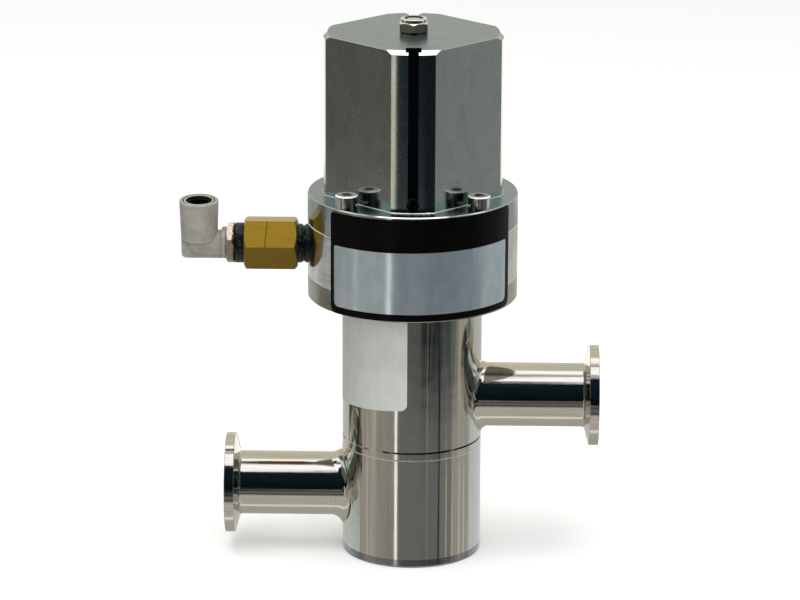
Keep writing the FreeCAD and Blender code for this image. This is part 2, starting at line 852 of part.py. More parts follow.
def make_elbow_stud():
    spigot = stud_spigot_diameter / 2
    ridge = stud_ridge_diameter / 2
    ridge_start = stud_hex_end + stud_ridge_distance
    groove_middle = stud_hex_end + stud_seal_distance
    groove = stud_seal_section + 2 * fitted_gap
    tip = stud_hex_end + stud_spigot_length
    body = bevelled_hexagon(stud_hex_width, stud_hex_start, stud_hex_end,
                            stud_face_elevation - quarter_turn, bevel_bottom=False)
    thread = rod(air_thread_radius, stud_hex_start + 1 - stud_thread_length, stud_hex_start + 1)
    nose = turned([
        (0, stud_hex_end - 1), (spigot, stud_hex_end - 1), (spigot, ridge_start),
        (ridge, ridge_start), (spigot, ridge_start + stud_ridge_width), (spigot, tip, 0.4), (0, tip),
    ])
    seal_groove = ring(spigot + 1, spigot - groove, groove_middle - groove / 2, groove_middle + groove / 2)
    bore = rod(stud_bore / 2, stud_hex_start + 1 - stud_thread_length, tip)
    return along_x(body.fuse([thread, nose]).cut([seal_groove, bore]), air_port_z, -1)


def make_stud_seal():
    section = stud_seal_section / 2
    circle = stud_spigot_diameter / 2 - section
    return along_x(torus(circle, section, stud_hex_end + stud_seal_distance), air_port_z, -1)


# elbow and its tube socket; upright here, leaned with lean() at the end

def lean(shape):
    leaned = shape.copy()
    leaned.rotate(V(0, 0, air_port_z), V(1, 0, 0), elbow_lean)
    return leaned


def upright(shape):
    # moves a piece turned about Z onto the axis of the elbow's barrel
    moved = shape.copy()
    moved.translate(V(-elbow_axis_distance, 0, 0))
    return moved


def socket_levels():
    # heights inside the barrel, from the tube's stop up to the seat of the release collar
    stop = air_port_z + tube_stop_height
    seal = stop + tube_guide_length
    grip = seal + tube_seal_height
    guide = grip + grip_thickness + grip_tooth_rise
    return stop, seal, grip, guide


def make_elbow_web():
    # flat plate in the outer corner, under the barrel and behind the pipe
    left = -elbow_axis_distance - elbow_barrel_foot_diameter / 2 + elbow_web_edge
    bottom = air_port_z - elbow_web_drop
    plate = outline([
        (left, bottom, elbow_web_round), (-elbow_face - elbow_collar_width, bottom),
        (-elbow_face - elbow_collar_width, air_port_z), (left, barrel_foot + elbow_web_overlap),
    ]).extrude(V(0, elbow_web_thickness, 0))
    plate.translate(V(0, -elbow_web_thickness / 2, 0))
    return plate


def make_elbow_body():
    barrel = elbow_barrel_diameter / 2
    pipe = elbow_pipe_diameter / 2
    collar = elbow_collar_diameter / 2
    stop, seal, grip, guide = socket_levels()
    outside = upright(turned([
        (0, barrel_foot), (elbow_barrel_foot_diameter / 2, barrel_foot, elbow_lip_round),
        (barrel, barrel_top, elbow_lip_round), (0, barrel_top),
    ]))
    down_pipe = upright(rod(pipe, air_port_z, barrel_foot + 1))
    bend = Part.makeSphere(pipe, V(-elbow_axis_distance, 0, air_port_z))
    side_pipe = along_x(rod(pipe, elbow_face, elbow_axis_distance), air_port_z, -1)
    collar_end = elbow_face + elbow_collar_width
    rim = along_x(turned([
        (0, elbow_face), (collar, elbow_face), (collar, collar_end - elbow_collar_step),
        (collar - elbow_collar_step, collar_end - elbow_collar_step),
        (collar - elbow_collar_step, collar_end),
        (0, collar_end),
    ]), air_port_z, -1)
    socket = upright(turned([
        (0, air_port_z - elbow_way_depth), (elbow_way_diameter / 2, air_port_z - elbow_way_depth),
        (elbow_way_diameter / 2, stop),
        (tube_diameter / 2 + tube_socket_gap, stop), (tube_diameter / 2 + tube_socket_gap, seal),
        (tube_seal_diameter / 2, seal), (tube_seal_diameter / 2, grip), (socket_diameter / 2, grip),
        (socket_diameter / 2, barrel_top), (0, barrel_top),
    ]))
    spigot = stud_spigot_diameter / 2 + running_gap
    ridge_groove = stud_ridge_diameter / 2 + register_gap
    groove_start = stud_hex_end + stud_ridge_distance - elbow_stud_gap
    groove_end = stud_hex_end + stud_ridge_distance + stud_ridge_width + elbow_stud_gap
    spigot_end = stud_hex_end + stud_spigot_length + elbow_stud_gap
    stud_hole = along_x(turned([
        (0, elbow_face), (spigot, elbow_face), (spigot, groove_start), (ridge_groove, groove_start),
        (ridge_groove, groove_end), (spigot, groove_end), (spigot, spigot_end), (stud_bore / 2, spigot_end),
        (stud_bore / 2, elbow_axis_distance), (0, elbow_axis_distance),
    ]), air_port_z, -1)
    solid = outside.fuse([down_pipe, bend, side_pipe, rim, make_elbow_web()]).removeSplitter()
    return lean(solid.cut([socket, stud_hole]))


def make_tube_seal():
    stop, seal, grip, guide = socket_levels()
    inner = tube_diameter / 2 - tube_seal_squeeze
    outer = tube_seal_diameter / 2 - fitted_gap
    middle = (inner + outer) / 2
    lip = 0.5
    return lean(upright(turned([
        (inner + 0.2, seal), (outer, seal), (outer, grip), (outer - lip, grip),
        (middle, grip - tube_seal_height / 2, 0.2), (inner + lip, grip), (inner, grip),
    ])))


def make_grip_ring():
    # dished steel ring, cut into teeth that lean up towards the tube's way out
    stop, seal, grip, guide = socket_levels()
    outer = socket_diameter / 2 - fitted_gap
    inner = tube_diameter / 2 + tube_socket_gap
    knee = (outer + inner) / 2
    dish = turned([
        (inner, grip + grip_tooth_rise), (knee, grip), (outer, grip), (outer, grip + grip_thickness),
        (knee, grip + grip_thickness), (inner, grip + grip_tooth_rise + grip_thickness),
    ])
    slit = Part.makeBox(knee, grip_tooth_gap, grip_thickness + grip_tooth_rise + 1,
                        V(0, -grip_tooth_gap / 2, grip))
    return lean(upright(dish.cut(around(slit, grip_teeth, 0))))


def make_tube_guide():
    # ring that keeps the grip ring down and guides the release collar; its thin rim shows at the top
    stop, seal, grip, guide = socket_levels()
    outer = socket_diameter / 2 - fitted_gap
    bore = guide_ring_bore / 2
    knee = (outer + tube_diameter / 2) / 2 + 0.6
    bottom = grip + grip_thickness
    return lean(upright(turned([
        (knee, bottom), (outer, bottom), (outer, bottom + guide_ring_height),
        (guide_rim_diameter / 2, bottom + guide_ring_height), (guide_rim_diameter / 2, barrel_top, 0.2),
        (bore, barrel_top, 0.2), (bore, guide),
    ])))


def make_release_collar():
    stop, seal, grip, guide = socket_levels()
    tip = guide + release_travel + running_gap
    sleeve = guide_ring_bore / 2 - running_gap
    bore = tube_diameter / 2 + tube_socket_gap
    top = barrel_top - release_drop
    return lean(upright(turned([
        (bore, tip), (sleeve - 0.4, tip), (sleeve, tip + 0.8), (sleeve, top),
        (release_mouth / 2, top), (bore, top - release_mouth_depth),
    ])))


pieces = {
    "bottom_cap": make_bottom_cap(),
    "lower_body_shell": make_body_shell(base_thickness, seat_ring_bottom, inlet_height, -1, inlet_blend),
    "inlet_port": make_port(inlet_height, -1),
    "seat_ring": make_seat_ring(),
    "upper_body_shell": make_body_shell(seat_ring_top, body_height, outlet_height, 1, outlet_blend),
    "outlet_port": make_port(outlet_height, 1),
    "body_flange": make_body_flange(),
    "bonnet_seal": make_bonnet_seal(),
    "bellows_flange": make_bellows_flange(),
    "air_ring": make_air_ring(),
    "cylinder_seal": make_cylinder_seal(),
    "stem_guide": make_stem_guide(),
    "stem_seal": make_stem_seal(),
    "seal_retainer": make_seal_retainer(),
    "actuator_block": make_actuator_block(),
    "roof_bush": make_roof_bush(),
    "vent_screw": make_vent_screw(),
    "cap_screws": make_cap_screws(),
    "valve_stem": make_valve_stem(),
    "poppet": make_poppet(),
    "poppet_seal": make_poppet_seal(),
    "poppet_washer": make_poppet_washer(),
    "poppet_screw": make_poppet_screw(),
    "bellows_foot": make_bellows_foot(),
    "bellows": make_bellows(),
    "piston": make_piston(),
    "piston_seal": make_piston_seal(),
    "piston_magnet": make_piston_magnet(),
    "piston_guide_ring": make_piston_guide_ring(),
    "piston_washer": make_piston_washer(),
    "piston_nut": make_piston_nut(),
    "return_spring": make_return_spring(),
    "stem_nut": make_stem_nut(),
    "nut_insert": make_nut_insert(),
    "brass_adapter": make_brass_adapter(),
    "ring_sealant": make_ring_sealant(),
    "stud_sealant": make_stud_sealant(),
    "elbow_stud": make_elbow_stud(),
    "stud_seal": make_stud_seal(),
    "elbow_body": make_elbow_body(),
    "tube_seal": make_tube_seal(),
    "grip_ring": make_grip_ring(),
    "tube_guide": make_tube_guide(),
    "release_collar": make_release_collar(),
}

os.makedirs("parts", exist_ok=True)
for name, shape in pieces.items():
    shape.exportStep("parts/" + name + ".step")
    print(name, len(shape.Solids), "solid", round(shape.Volume, 1), "mm3", shape.isValid())
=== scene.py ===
import json
import math

import bpy
from mathutils import Matrix, Vector


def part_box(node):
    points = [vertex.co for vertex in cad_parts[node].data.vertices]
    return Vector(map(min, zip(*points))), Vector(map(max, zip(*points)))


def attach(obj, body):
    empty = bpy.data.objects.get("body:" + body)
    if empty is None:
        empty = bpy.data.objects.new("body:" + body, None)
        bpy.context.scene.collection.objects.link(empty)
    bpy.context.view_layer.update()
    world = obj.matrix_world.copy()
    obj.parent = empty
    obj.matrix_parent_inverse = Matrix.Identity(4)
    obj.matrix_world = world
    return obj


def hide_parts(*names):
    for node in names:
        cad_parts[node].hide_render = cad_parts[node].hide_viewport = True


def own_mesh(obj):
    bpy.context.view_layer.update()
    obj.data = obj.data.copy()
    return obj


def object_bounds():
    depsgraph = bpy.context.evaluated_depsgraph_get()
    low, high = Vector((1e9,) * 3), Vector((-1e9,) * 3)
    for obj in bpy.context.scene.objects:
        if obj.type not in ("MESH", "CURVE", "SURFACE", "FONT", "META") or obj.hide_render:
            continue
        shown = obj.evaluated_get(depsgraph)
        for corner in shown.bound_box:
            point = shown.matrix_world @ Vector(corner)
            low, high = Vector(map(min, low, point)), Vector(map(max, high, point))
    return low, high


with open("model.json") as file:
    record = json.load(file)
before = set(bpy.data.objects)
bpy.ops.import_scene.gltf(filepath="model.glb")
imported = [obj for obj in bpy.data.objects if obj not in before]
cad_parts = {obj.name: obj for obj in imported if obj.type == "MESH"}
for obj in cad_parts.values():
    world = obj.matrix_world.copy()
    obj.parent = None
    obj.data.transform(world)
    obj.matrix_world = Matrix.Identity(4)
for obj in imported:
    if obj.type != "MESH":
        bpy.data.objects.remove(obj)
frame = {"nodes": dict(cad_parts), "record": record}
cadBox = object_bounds()
nodes = frame["nodes"]
mm = 0.001
noiseLow, noiseHigh = 0.3, 0.7  # nearly all values of a noise texture lie between these
print("frame loaded:", len(nodes), "nodes")


# helpers

def hexColour(code):
    # sRGB hex to the linear values that the sockets take
    parts = [int(code[i:i + 2], 16) / 255 for i in (1, 3, 5)]
    return [p / 12.92 if p <= 0.04045 else ((p + 0.055) / 1.055) ** 2.4 for p in parts] + [1]


def addNode(tree, kind, links=None, stops=None, **settings):
    # adds a node, sets it, and links or fills its inputs; stops fill a colour ramp
    node = tree.nodes.new(kind)
    for setting, value in settings.items():
        setattr(node, setting, value)
    for socket, value in (links or {}).items():
        if isinstance(value, bpy.types.NodeSocket):
            tree.links.new(value, node.inputs[socket])
        else:
            node.inputs[socket].default_value = value
    if stops:
        ramp = node.color_ramp
        while len(ramp.elements) < len(stops):
            ramp.elements.new(1)
        for element, (place, colour) in zip(ramp.elements, stops):
            element.position = place
            element.color = hexColour(colour)
    return node


def newMaterial(name, settings):
    material = bpy.data.materials.new(name)
    material.use_nodes = True
    tree = material.node_tree
    shader = tree.nodes["Principled BSDF"]
    for socket, value in settings.items():
        shader.inputs[socket].default_value = hexColour(value) if isinstance(value, str) else value
    return material, tree, shader


def finishWith(tree, shader, links):
    for socket, value in links.items():
        tree.links.new(value, shader.inputs[socket])


def stretchedNoise(tree, grain, stretch=(1, 1, 1), detail=2):
    # noise whose grain is given in metres; stretch lengthens it along X, Y and Z
    place = addNode(tree, "ShaderNodeTexCoord").outputs["Object"]
    scaled = addNode(tree, "ShaderNodeMapping",
                     {"Vector": place, "Scale": [1 / (grain * share) for share in stretch]})
    return addNode(tree, "ShaderNodeTexNoise",
                   {"Vector": scaled.outputs[0], "Scale": 1, "Detail": detail}).outputs[0]


def addMesh(name, points, faces, material):
    mesh = bpy.data.meshes.new(name)
    mesh.from_pydata(points, [], faces)
    mesh.shade_smooth()
    mesh.materials.append(material)
    piece = bpy.data.objects.new(name, mesh)
    bpy.context.scene.collection.objects.link(piece)
    return piece


# camera: the photograph's angle and its long lens

view = {
    "target": Vector((-4.883, 0, 102.422)) * mm,
    "distance": 1532.96 * mm,
    "elevation": math.radians(16.495),
    "azimuth": math.radians(1.104),
    "roll": math.radians(0.244),
    "lens": 174.85,
    "sensor": 36,
    "clip": (0.1, 50),
}


def addCamera(view):
    up, turn = view["elevation"], view["azimuth"]
    forward = Vector((-math.sin(turn) * math.cos(up), math.cos(turn) * math.cos(up), -math.sin(up)))
    right = Vector((math.cos(turn), math.sin(turn), 0))
    above = right.cross(forward)
    rolledRight = right * math.cos(view["roll"]) + above * math.sin(view["roll"])
    rolledUp = above * math.cos(view["roll"]) - right * math.sin(view["roll"])
    data = bpy.data.cameras.new("camera")
    data.lens = view["lens"]
    data.sensor_width = view["sensor"]
    data.clip_start, data.clip_end = view["clip"]
    camera = bpy.data.objects.new("camera", data)
    bpy.context.scene.collection.objects.link(camera)
    axes = Matrix((rolledRight, rolledUp, -forward)).transposed().to_4x4()
    camera.matrix_world = Matrix.Translation(view["target"] - forward * view["distance"]) @ axes
    bpy.context.scene.camera = camera


addCamera(view)
bpy.context.scene.view_settings.view_transform = "Standard"
print("camera set")


# studio: what the metal mirrors, as walls, strips and flags standing round a pale table

studio = {
    "mirrorStrength": 1.65,
    "softStrength": 0.55,
    "softTint": "#f6f7f8",
    # round the table, seen by upright metal: degrees from the front, positive to the right
    "aroundTable": [
        (-180, "#a3a39c"), (-130, "#a9aaa6"), (-126, "#4c463a"), (-108, "#221f1a"), (-94, "#2a2722"),
        (-92, "#8c8474"), (-84, "#8b867d"), (-68, "#8d8880"), (-64, "#b4ae9c"), (-60, "#86837b"),
        (-30, "#7d7972"), (-27.2, "#77736c"), (-26.7, "#ffffff"), (-23.2, "#ffffff"), (-22.7, "#55514d"),
        (15, "#464443"), (17, "#101517"), (44, "#161d20"), (47, "#0c1012"), (49, "#283032"),
        (68, "#3b4140"), (79, "#5a5c55"), (86, "#948f82"), (94, "#949085"), (112, "#838583"),
        (130, "#a6a7a2"), (180, "#a3a39c"),
    ],
    # over the table from front to back, seen by lying metal: degrees up from the front horizon
    "overTable": [
        (-180, "#a9a594"), (-150, "#8d8b84"), (-82, "#a19f98"), (-79, "#d8d4c8"), (-73, "#d8d4c8"),
        (-70, "#a19e97"), (-32, "#a5a29c"), (-29, "#504b48"), (-18, "#524d4a"), (-16, "#8f8a82"),
        (-9, "#8f8a82"), (-7, "#06090a"), (20, "#0b161a"), (48, "#0e1a20"), (56, "#101619"),
        (63, "#2a2c2c"), (65, "#ffffff"), (77, "#ffffff"), (79, "#55474c"), (85, "#6a5f62"),
        (89, "#b9b4b0"), (93, "#c8c3ba"), (97, "#ffffff"), (109, "#ffffff"), (112, "#b9b5a3"),
        (150, "#b4b09e"), (180, "#a9a594"),
    ],
    # between these two heights, in degrees, a ray sees what stands round the table
    "tableEdge": (-30, -26),
    "horizon": (-11, -8),
    # smaller boards laid over the rest, later ones in front: from and to round the table, lowest and
    # highest degrees up, softness of the sides, colour
    "boards": {
        "leftScreen": (-106, -70, -15.15, 8, 2, "#5a5752"),
        "rightScreen": (70, 91, -15.15, 8, 2, "#5f6364"),
        "rightBoard": (91, 110, -15.15, 8, 2, "#878b89"),
        "greyFlag": (-19, -3, -15.3, 0, 0.7, "#17252b"),
        "blackFlag": (3, 30, -15.3, 0, 0.7, "#0f1a1c"),
        "stripFrame": (-28, -24.5, -15.3, 0, 0.4, "#5d574e"),
        "stripLight": (-24.5, -21.4, -15.3, 0, 0.3, "#fff0d8"),
        "stripOnPanel": (-26.7, -23.2, -16.45, -15.35, 0.3, "#ffe8c4"),
        "stripShade": (-21, -19, -15.3, 0, 0.4, "#26312f"),
        "leftWall": (-185, -148, -15.0, 0, 3, "#f0e8dc"),
        "rightWall": (148, 185, -15.0, 0, 3, "#f0e8dc"),
        "nutShadeLeft": (-68, -54, -14.2, -11, 1, "#48453a"),
        "nutShadeRight": (52, 66, -14.2, -11, 1, "#3b3c3b"),
        "sideWallLeft": (-120, -40, 3, 35, 2, "#55574c"),
        "sideWallRight": (40, 120, 3, 35, 2, "#484c4e"),
        "ledgeWallLeft": (-100, -78, 3, 35, 2, "#b9cbc4"),
        "ledgeWallRight": (80, 102, 3, 35, 2, "#b9cbc8"),
        "backWallLeft": (-190, -150, 8, 25, 2, "#b4b5b1"),
        "backWallRight": (150, 190, 8, 25, 2, "#b4b5b1"),
        "skyStripLeft": (-70, -4, 55, 84, 2, "#ffffff"),
        "skyStripRight": (4, 70, 55, 84, 2, "#ffffff"),
        "flangeEdgeLeft": (-178, -129, -15.4, -14.7, 2, "#6f736d"),
        "flangeShadeLeft": (-129, -109, -15.5, -14.97, 1.5, "#3a3d38"),
        "flangeTealLeft": (-109, -98, -15.5, -14.97, 1, "#7d8a8a"),
        "flangeShadeRight": (130, 168, -15.6, -14.85, 4, "#7f837e"),
        "ringLightLeft": (-134, -96, -16.3, -15.5, 2, "#cfd2d2"),
        "flangeDullLeft": (-134, -96, -16.75, -16.3, 2, "#98938c"),
        "lowBoard": (-22.3, 46, -21.5, -17.9, 0.5, "#656565"),
        "lowLine": (26, 27.5, -21.5, -17.2, 0.4, "#837d70"),
        "lowFlag": (46.6, 48.6, -21.5, -15.5, 0.4, "#1f262a"),
        "lowBoardRight": (49, 72, -21.5, -17.9, 0.5, "#6d6d6b"),
        "lowBoardFar": (72, 112, -21.5, -17.9, 1, "#8e8d87"),
        "lowWallRight": (112, 165, -21.5, -17.9, 4, "#b1b5b5"),
        "lowWallLeft": (-132, -94, -21.5, -19.2, 2, "#b1b6b4"),
        "lowBoardLeft": (-94, -61, -21.5, -18.6, 1, "#8d8b86"),
        "lowStreakLeft": (-80, -77.5, -21.5, -18.6, 0.6, "#b3aa9d"),
        "lowStreakNear": (-70.6, -68.8, -21.5, -18.6, 0.6, "#aba498"),
        "lowStreakOne": (60.5, 62, -21.5, -18.9, 0.5, "#b3aea0"),
        "lowStreakTwo": (72, 73.6, -21.5, -18.9, 0.5, "#bcb8ab"),
        "lowStreakThree": (86.8, 88.8, -21.5, -18.9, 0.6, "#c6c2b6"),
        "lowStreakFour": (98, 100.4, -21.5, -18.9, 0.6, "#bab6aa"),
    },
    "boardEdge": 0.12,  # softness of the boards' upper and lower edges, in degrees
}


def lightWorld(studio):
    world = bpy.data.worlds.new("studio")
    bpy.context.scene.world = world
    world.use_nodes = True
    tree = world.node_tree
    tree.nodes.clear()
    direction = addNode(tree, "ShaderNodeTexCoord").outputs["Generated"]
    x, y, z = addNode(tree, "ShaderNodeSeparateXYZ", {0: direction}).outputs
    front = addNode(tree, "ShaderNodeMath", {0: y, 1: -1.0}, operation="MULTIPLY").outputs[0]
    ramps = []
    for first, layer in ((x, "aroundTable"), (z, "overTable")):
        angle = addNode(tree, "ShaderNodeMath", {0: first, 1: front}, operation="ARCTAN2").outputs[0]
        place = addNode(tree, "ShaderNodeMapRange", {0: angle, 1: -math.pi, 2: math.pi}).outputs[0]
        stops = [((degrees + 180) / 360, colour) for degrees, colour in studio[layer]]
        ramps.append(addNode(tree, "ShaderNodeValToRGB", {0: place}, stops=stops).outputs[0])
    height = addNode(tree, "ShaderNodeMath", {0: z}, operation="ARCSINE").outputs[0]
    lower, upper = [[math.radians(d) for d in studio[name]] for name in ("tableEdge", "horizon")]
    above = addNode(tree, "ShaderNodeMapRange", {0: height, 1: lower[0], 2: lower[1]}).outputs[0]
    below = addNode(tree, "ShaderNodeMapRange", {0: height, 1: upper[1], 2: upper[0]}).outputs[0]
    ring = addNode(tree, "ShaderNodeMath", {0: above, 1: below}, operation="MULTIPLY").outputs[0]
    seen = addNode(tree, "ShaderNodeMix", {0: ring, 6: ramps[1], 7: ramps[0]}, data_type="RGBA").outputs[2]
    around = addNode(tree, "ShaderNodeMath", {0: x, 1: front}, operation="ARCTAN2").outputs[0]
    for start, end, low, high, soft, colour in studio["boards"].values():
        shares = []
        sides = (around, start, end, soft), (height, low, high, studio["boardEdge"])
        for angle, first, last, blur in sides:
            middle, half = (first + last) / 2, (last - first) / 2
            off = addNode(tree, "ShaderNodeMath", {0: angle, 1: math.radians(middle)}, operation="SUBTRACT")
            away = addNode(tree, "ShaderNodeMath", {0: off.outputs[0]}, operation="ABSOLUTE").outputs[0]
            shares.append(addNode(tree, "ShaderNodeMapRange", {0: away, 1: math.radians(half + blur),
                                                               2: math.radians(half - blur)}).outputs[0])
        share = addNode(tree, "ShaderNodeMath", {0: shares[0], 1: shares[1]}, operation="MULTIPLY").outputs[0]
        seen = addNode(tree, "ShaderNodeMix", {0: share, 6: seen, 7: hexColour(colour)},
                       data_type="RGBA").outputs[2]
    mirror = addNode(tree, "ShaderNodeBackground", {"Color": seen, "Strength": studio["mirrorStrength"]})
    even = addNode(tree, "ShaderNodeBackground",
                   {"Color": hexColour(studio["softTint"]), "Strength": studio["softStrength"]})
    white = addNode(tree, "ShaderNodeBackground", {"Color": (1, 1, 1, 1), "Strength": 1.0})
    rays = addNode(tree, "ShaderNodeLightPath")
    lit = addNode(tree, "ShaderNodeMixShader",
                  {0: rays.outputs["Is Diffuse Ray"], 1: mirror.outputs[0], 2: even.outputs[0]})
    whole = addNode(tree, "ShaderNodeMixShader",
                    {0: rays.outputs["Is Camera Ray"], 1: lit.outputs[0], 2: white.outputs[0]})
    addNode(tree, "ShaderNodeOutputWorld", {0: whole.outputs[0]})


lightWorld(studio)

lamps = {
    "overheadSoftbox": {"place": (-0.1, -0.25, 1.5), "size": (1.6, 1.2), "watts": 21, "aim": (0, 0, 0.1)},
    "frontSoftbox": {"place": (0.5, -2.2, 0.9), "size": (1.8, 1.4), "watts": 26, "aim": (0, 0, 0.1)},
}
for name, lamp in lamps.items():
    data = bpy.data.lights.new(name, "AREA")
    data.shape = "RECTANGLE"
    data.size, data.size_y = lamp["size"]
    data.energy = lamp["watts"]
    light = bpy.data.objects.new(name, data)
    bpy.context.scene.collection.objects.link(light)
    light.location = lamp["place"]
    aim = Vector(lamp["aim"]) - Vector(lamp["place"])
    light.rotation_euler = aim.to_track_quat("-Z", "Y").to_euler()
    light.visible_glossy = False  # the world already shows the metal its softboxes
print("studio lit")


# floor: a pale laminate table top, matt, that keeps the shadow and is lifted to white for the camera

floorSheet = {"half": 6.0, "sink": 0.02 * mm, "colour": "#d9d9d7", "roughness": 0.9, "whiten": 0.28}


def addFloor(sheet):
    half = sheet["half"]
    material, tree, shader = newMaterial("laminateTable", {"Base Color": sheet["colour"],
                                                           "Roughness": sheet["roughness"]})
    rays = addNode(tree, "ShaderNodeLightPath")
    glow = addNode(tree, "ShaderNodeEmission", {"Color": (1, 1, 1, 1), "Strength": sheet["whiten"]})
    both = addNode(tree, "ShaderNodeAddShader", {0: shader.outputs[0], 1: glow.outputs[0]})
    shown = addNode(tree, "ShaderNodeMixShader",
                    {0: rays.outputs["Is Camera Ray"], 1: shader.outputs[0], 2: both.outputs[0]})
    tree.links.new(shown.outputs[0], tree.nodes["Material Output"].inputs["Surface"])
    corners = [(-half, -half, 0), (half, -half, 0), (half, half, 0), (-half, half, 0)]
    floor = addMesh("floor", corners, [(0, 1, 2, 3)], material)
    floor.location.z = cadBox[0][2] - sheet["sink"]
    floor.visible_glossy = False


addFloor(floorSheet)
print("floor laid")


# metals

def polishedStainless(name, along):
    # stainless tube, belt polished along its length: near-mirror, with fine lines that comb it
    # the belt's lines are about 0.1 mm wide, drawn coarser so they show
    finish = {"lineWidth": 0.5 * mm, "lineLength": 60, "lineDepth": 0.05 * mm, "waveWidth": 9 * mm,
              "waveDepth": 0.15 * mm, "smooth": 0.05, "rough": 0.13, "dark": "#c1beb7", "light": "#d0cfcb"}
    material, tree, shader = newMaterial(name, {"Metallic": 1, "Base Color": "#cbc9c4", "Roughness": 0.07})
    stretch = [finish["lineLength"] if axis == along else 1 for axis in "XYZ"]
    lines = stretchedNoise(tree, finish["lineWidth"], stretch)
    waves = stretchedNoise(tree, finish["waveWidth"], detail=1)
    rough = addNode(tree, "ShaderNodeMapRange",
                    {0: lines, 1: noiseLow, 2: noiseHigh, 3: finish["smooth"], 4: finish["rough"]})
    colour = addNode(tree, "ShaderNodeValToRGB", {0: lines},
                     stops=[(noiseLow, finish["dark"]), (noiseHigh, finish["light"])])
    comb = addNode(tree, "ShaderNodeBump",
                   {"Height": lines, "Strength": 0.06, "Distance": finish["lineDepth"]})
    swell = addNode(tree, "ShaderNodeBump", {"Height": waves, "Strength": 0.15,
                                             "Distance": finish["waveDepth"], "Normal": comb.outputs[0]})
    finishWith(tree, shader, {"Roughness": rough.outputs[0], "Base Color": colour.outputs[0],
                              "Normal": swell.outputs[0]})
    return material


def turnedMetal(name, colour, wearAndShade, roughness, strength=0.25):
    # lathe-turned face: fine feed marks round the axis that spread the light across them
    # the tool's feed is about 0.1 mm, drawn coarser so it shows
    finish = {"markWidth": 0.35 * mm, "markLength": 30, "markDepth": 0.05 * mm, "stain": 6 * mm}
    material, tree, shader = newMaterial(name, {"Metallic": 1, "Base Color": colour, "Roughness": roughness})
    marks = stretchedNoise(tree, finish["markWidth"], (finish["markLength"], finish["markLength"], 1))
    cloud = stretchedNoise(tree, finish["stain"], detail=3)
    tint = addNode(tree, "ShaderNodeValToRGB", {0: cloud}, stops=[(0.35, wearAndShade), (0.65, colour)])
    rough = addNode(tree, "ShaderNodeMapRange",
                    {0: marks, 1: noiseLow, 2: noiseHigh, 3: roughness * 0.8, 4: roughness * 1.3})
    bump = addNode(tree, "ShaderNodeBump",
                   {"Height": marks, "Strength": strength, "Distance": finish["markDepth"]})
    finishWith(tree, shader, {"Base Color": tint.outputs[0], "Roughness": rough.outputs[0],
                              "Normal": bump.outputs[0]})
    return material


def knurledSteel(name):
    # alloy steel screw, plated, with fine knurling down its head; the rim is a painted highlight, pale,
    # rougher and less metallic so it takes the lamps' light, and the flat top is painted darker as shade
    # lying and flat: how far up the normal points where the rim and the top start and are whole
    finish = {"ridgeWidth": 0.3 * mm, "ridgeLength": 40, "ridgeDepth": 0.08 * mm, "valley": "#a19d96",
              "ridge": "#f4f2ee", "rim": "#fbf9f3", "top": "#8f8d87", "lying": (0.2, 0.4),
              "flat": (0.94, 0.97), "plated": 0.2, "highlightRimRough": 0.35, "highlightRimMetal": 0.25}
    material, tree, shader = newMaterial(name, {"Metallic": 1, "Base Color": "#e8e6e0",
                                                "Roughness": finish["plated"]})
    ridges = stretchedNoise(tree, finish["ridgeWidth"], (1, 1, finish["ridgeLength"]), 0)
    knurl = addNode(tree, "ShaderNodeValToRGB", {0: ridges},
                    stops=[(0.35, finish["valley"]), (0.6, finish["ridge"])])
    bump = addNode(tree, "ShaderNodeBump",
                   {"Height": ridges, "Strength": 0.5, "Distance": finish["ridgeDepth"]})
    facing = addNode(tree, "ShaderNodeNewGeometry").outputs["True Normal"]
    up = addNode(tree, "ShaderNodeSeparateXYZ", {0: facing}).outputs[2]
    lying, flat = [addNode(tree, "ShaderNodeMapRange", {0: up, 1: start, 2: whole}).outputs[0]
                   for start, whole in (finish["lying"], finish["flat"])]
    # painted highlight on the rim and painted shade on the flat top, chosen by how far up the face looks
    head = addNode(tree, "ShaderNodeMix", {0: flat, 6: hexColour(finish["rim"]), 7: hexColour(finish["top"])},
                   data_type="RGBA")
    colour = addNode(tree, "ShaderNodeMix", {0: lying, 6: knurl.outputs[0], 7: head.outputs[2]},
                     data_type="RGBA")
    metallic = addNode(tree, "ShaderNodeMapRange", {0: lying, 3: 1.0, 4: finish["highlightRimMetal"]})
    rough = addNode(tree, "ShaderNodeMapRange", {0: lying, 3: finish["plated"], 4: finish["highlightRimRough"]})
    finishWith(tree, shader, {"Base Color": colour.outputs[2], "Normal": bump.outputs[0],
                              "Metallic": metallic.outputs[0], "Roughness": rough.outputs[0]})
    return material


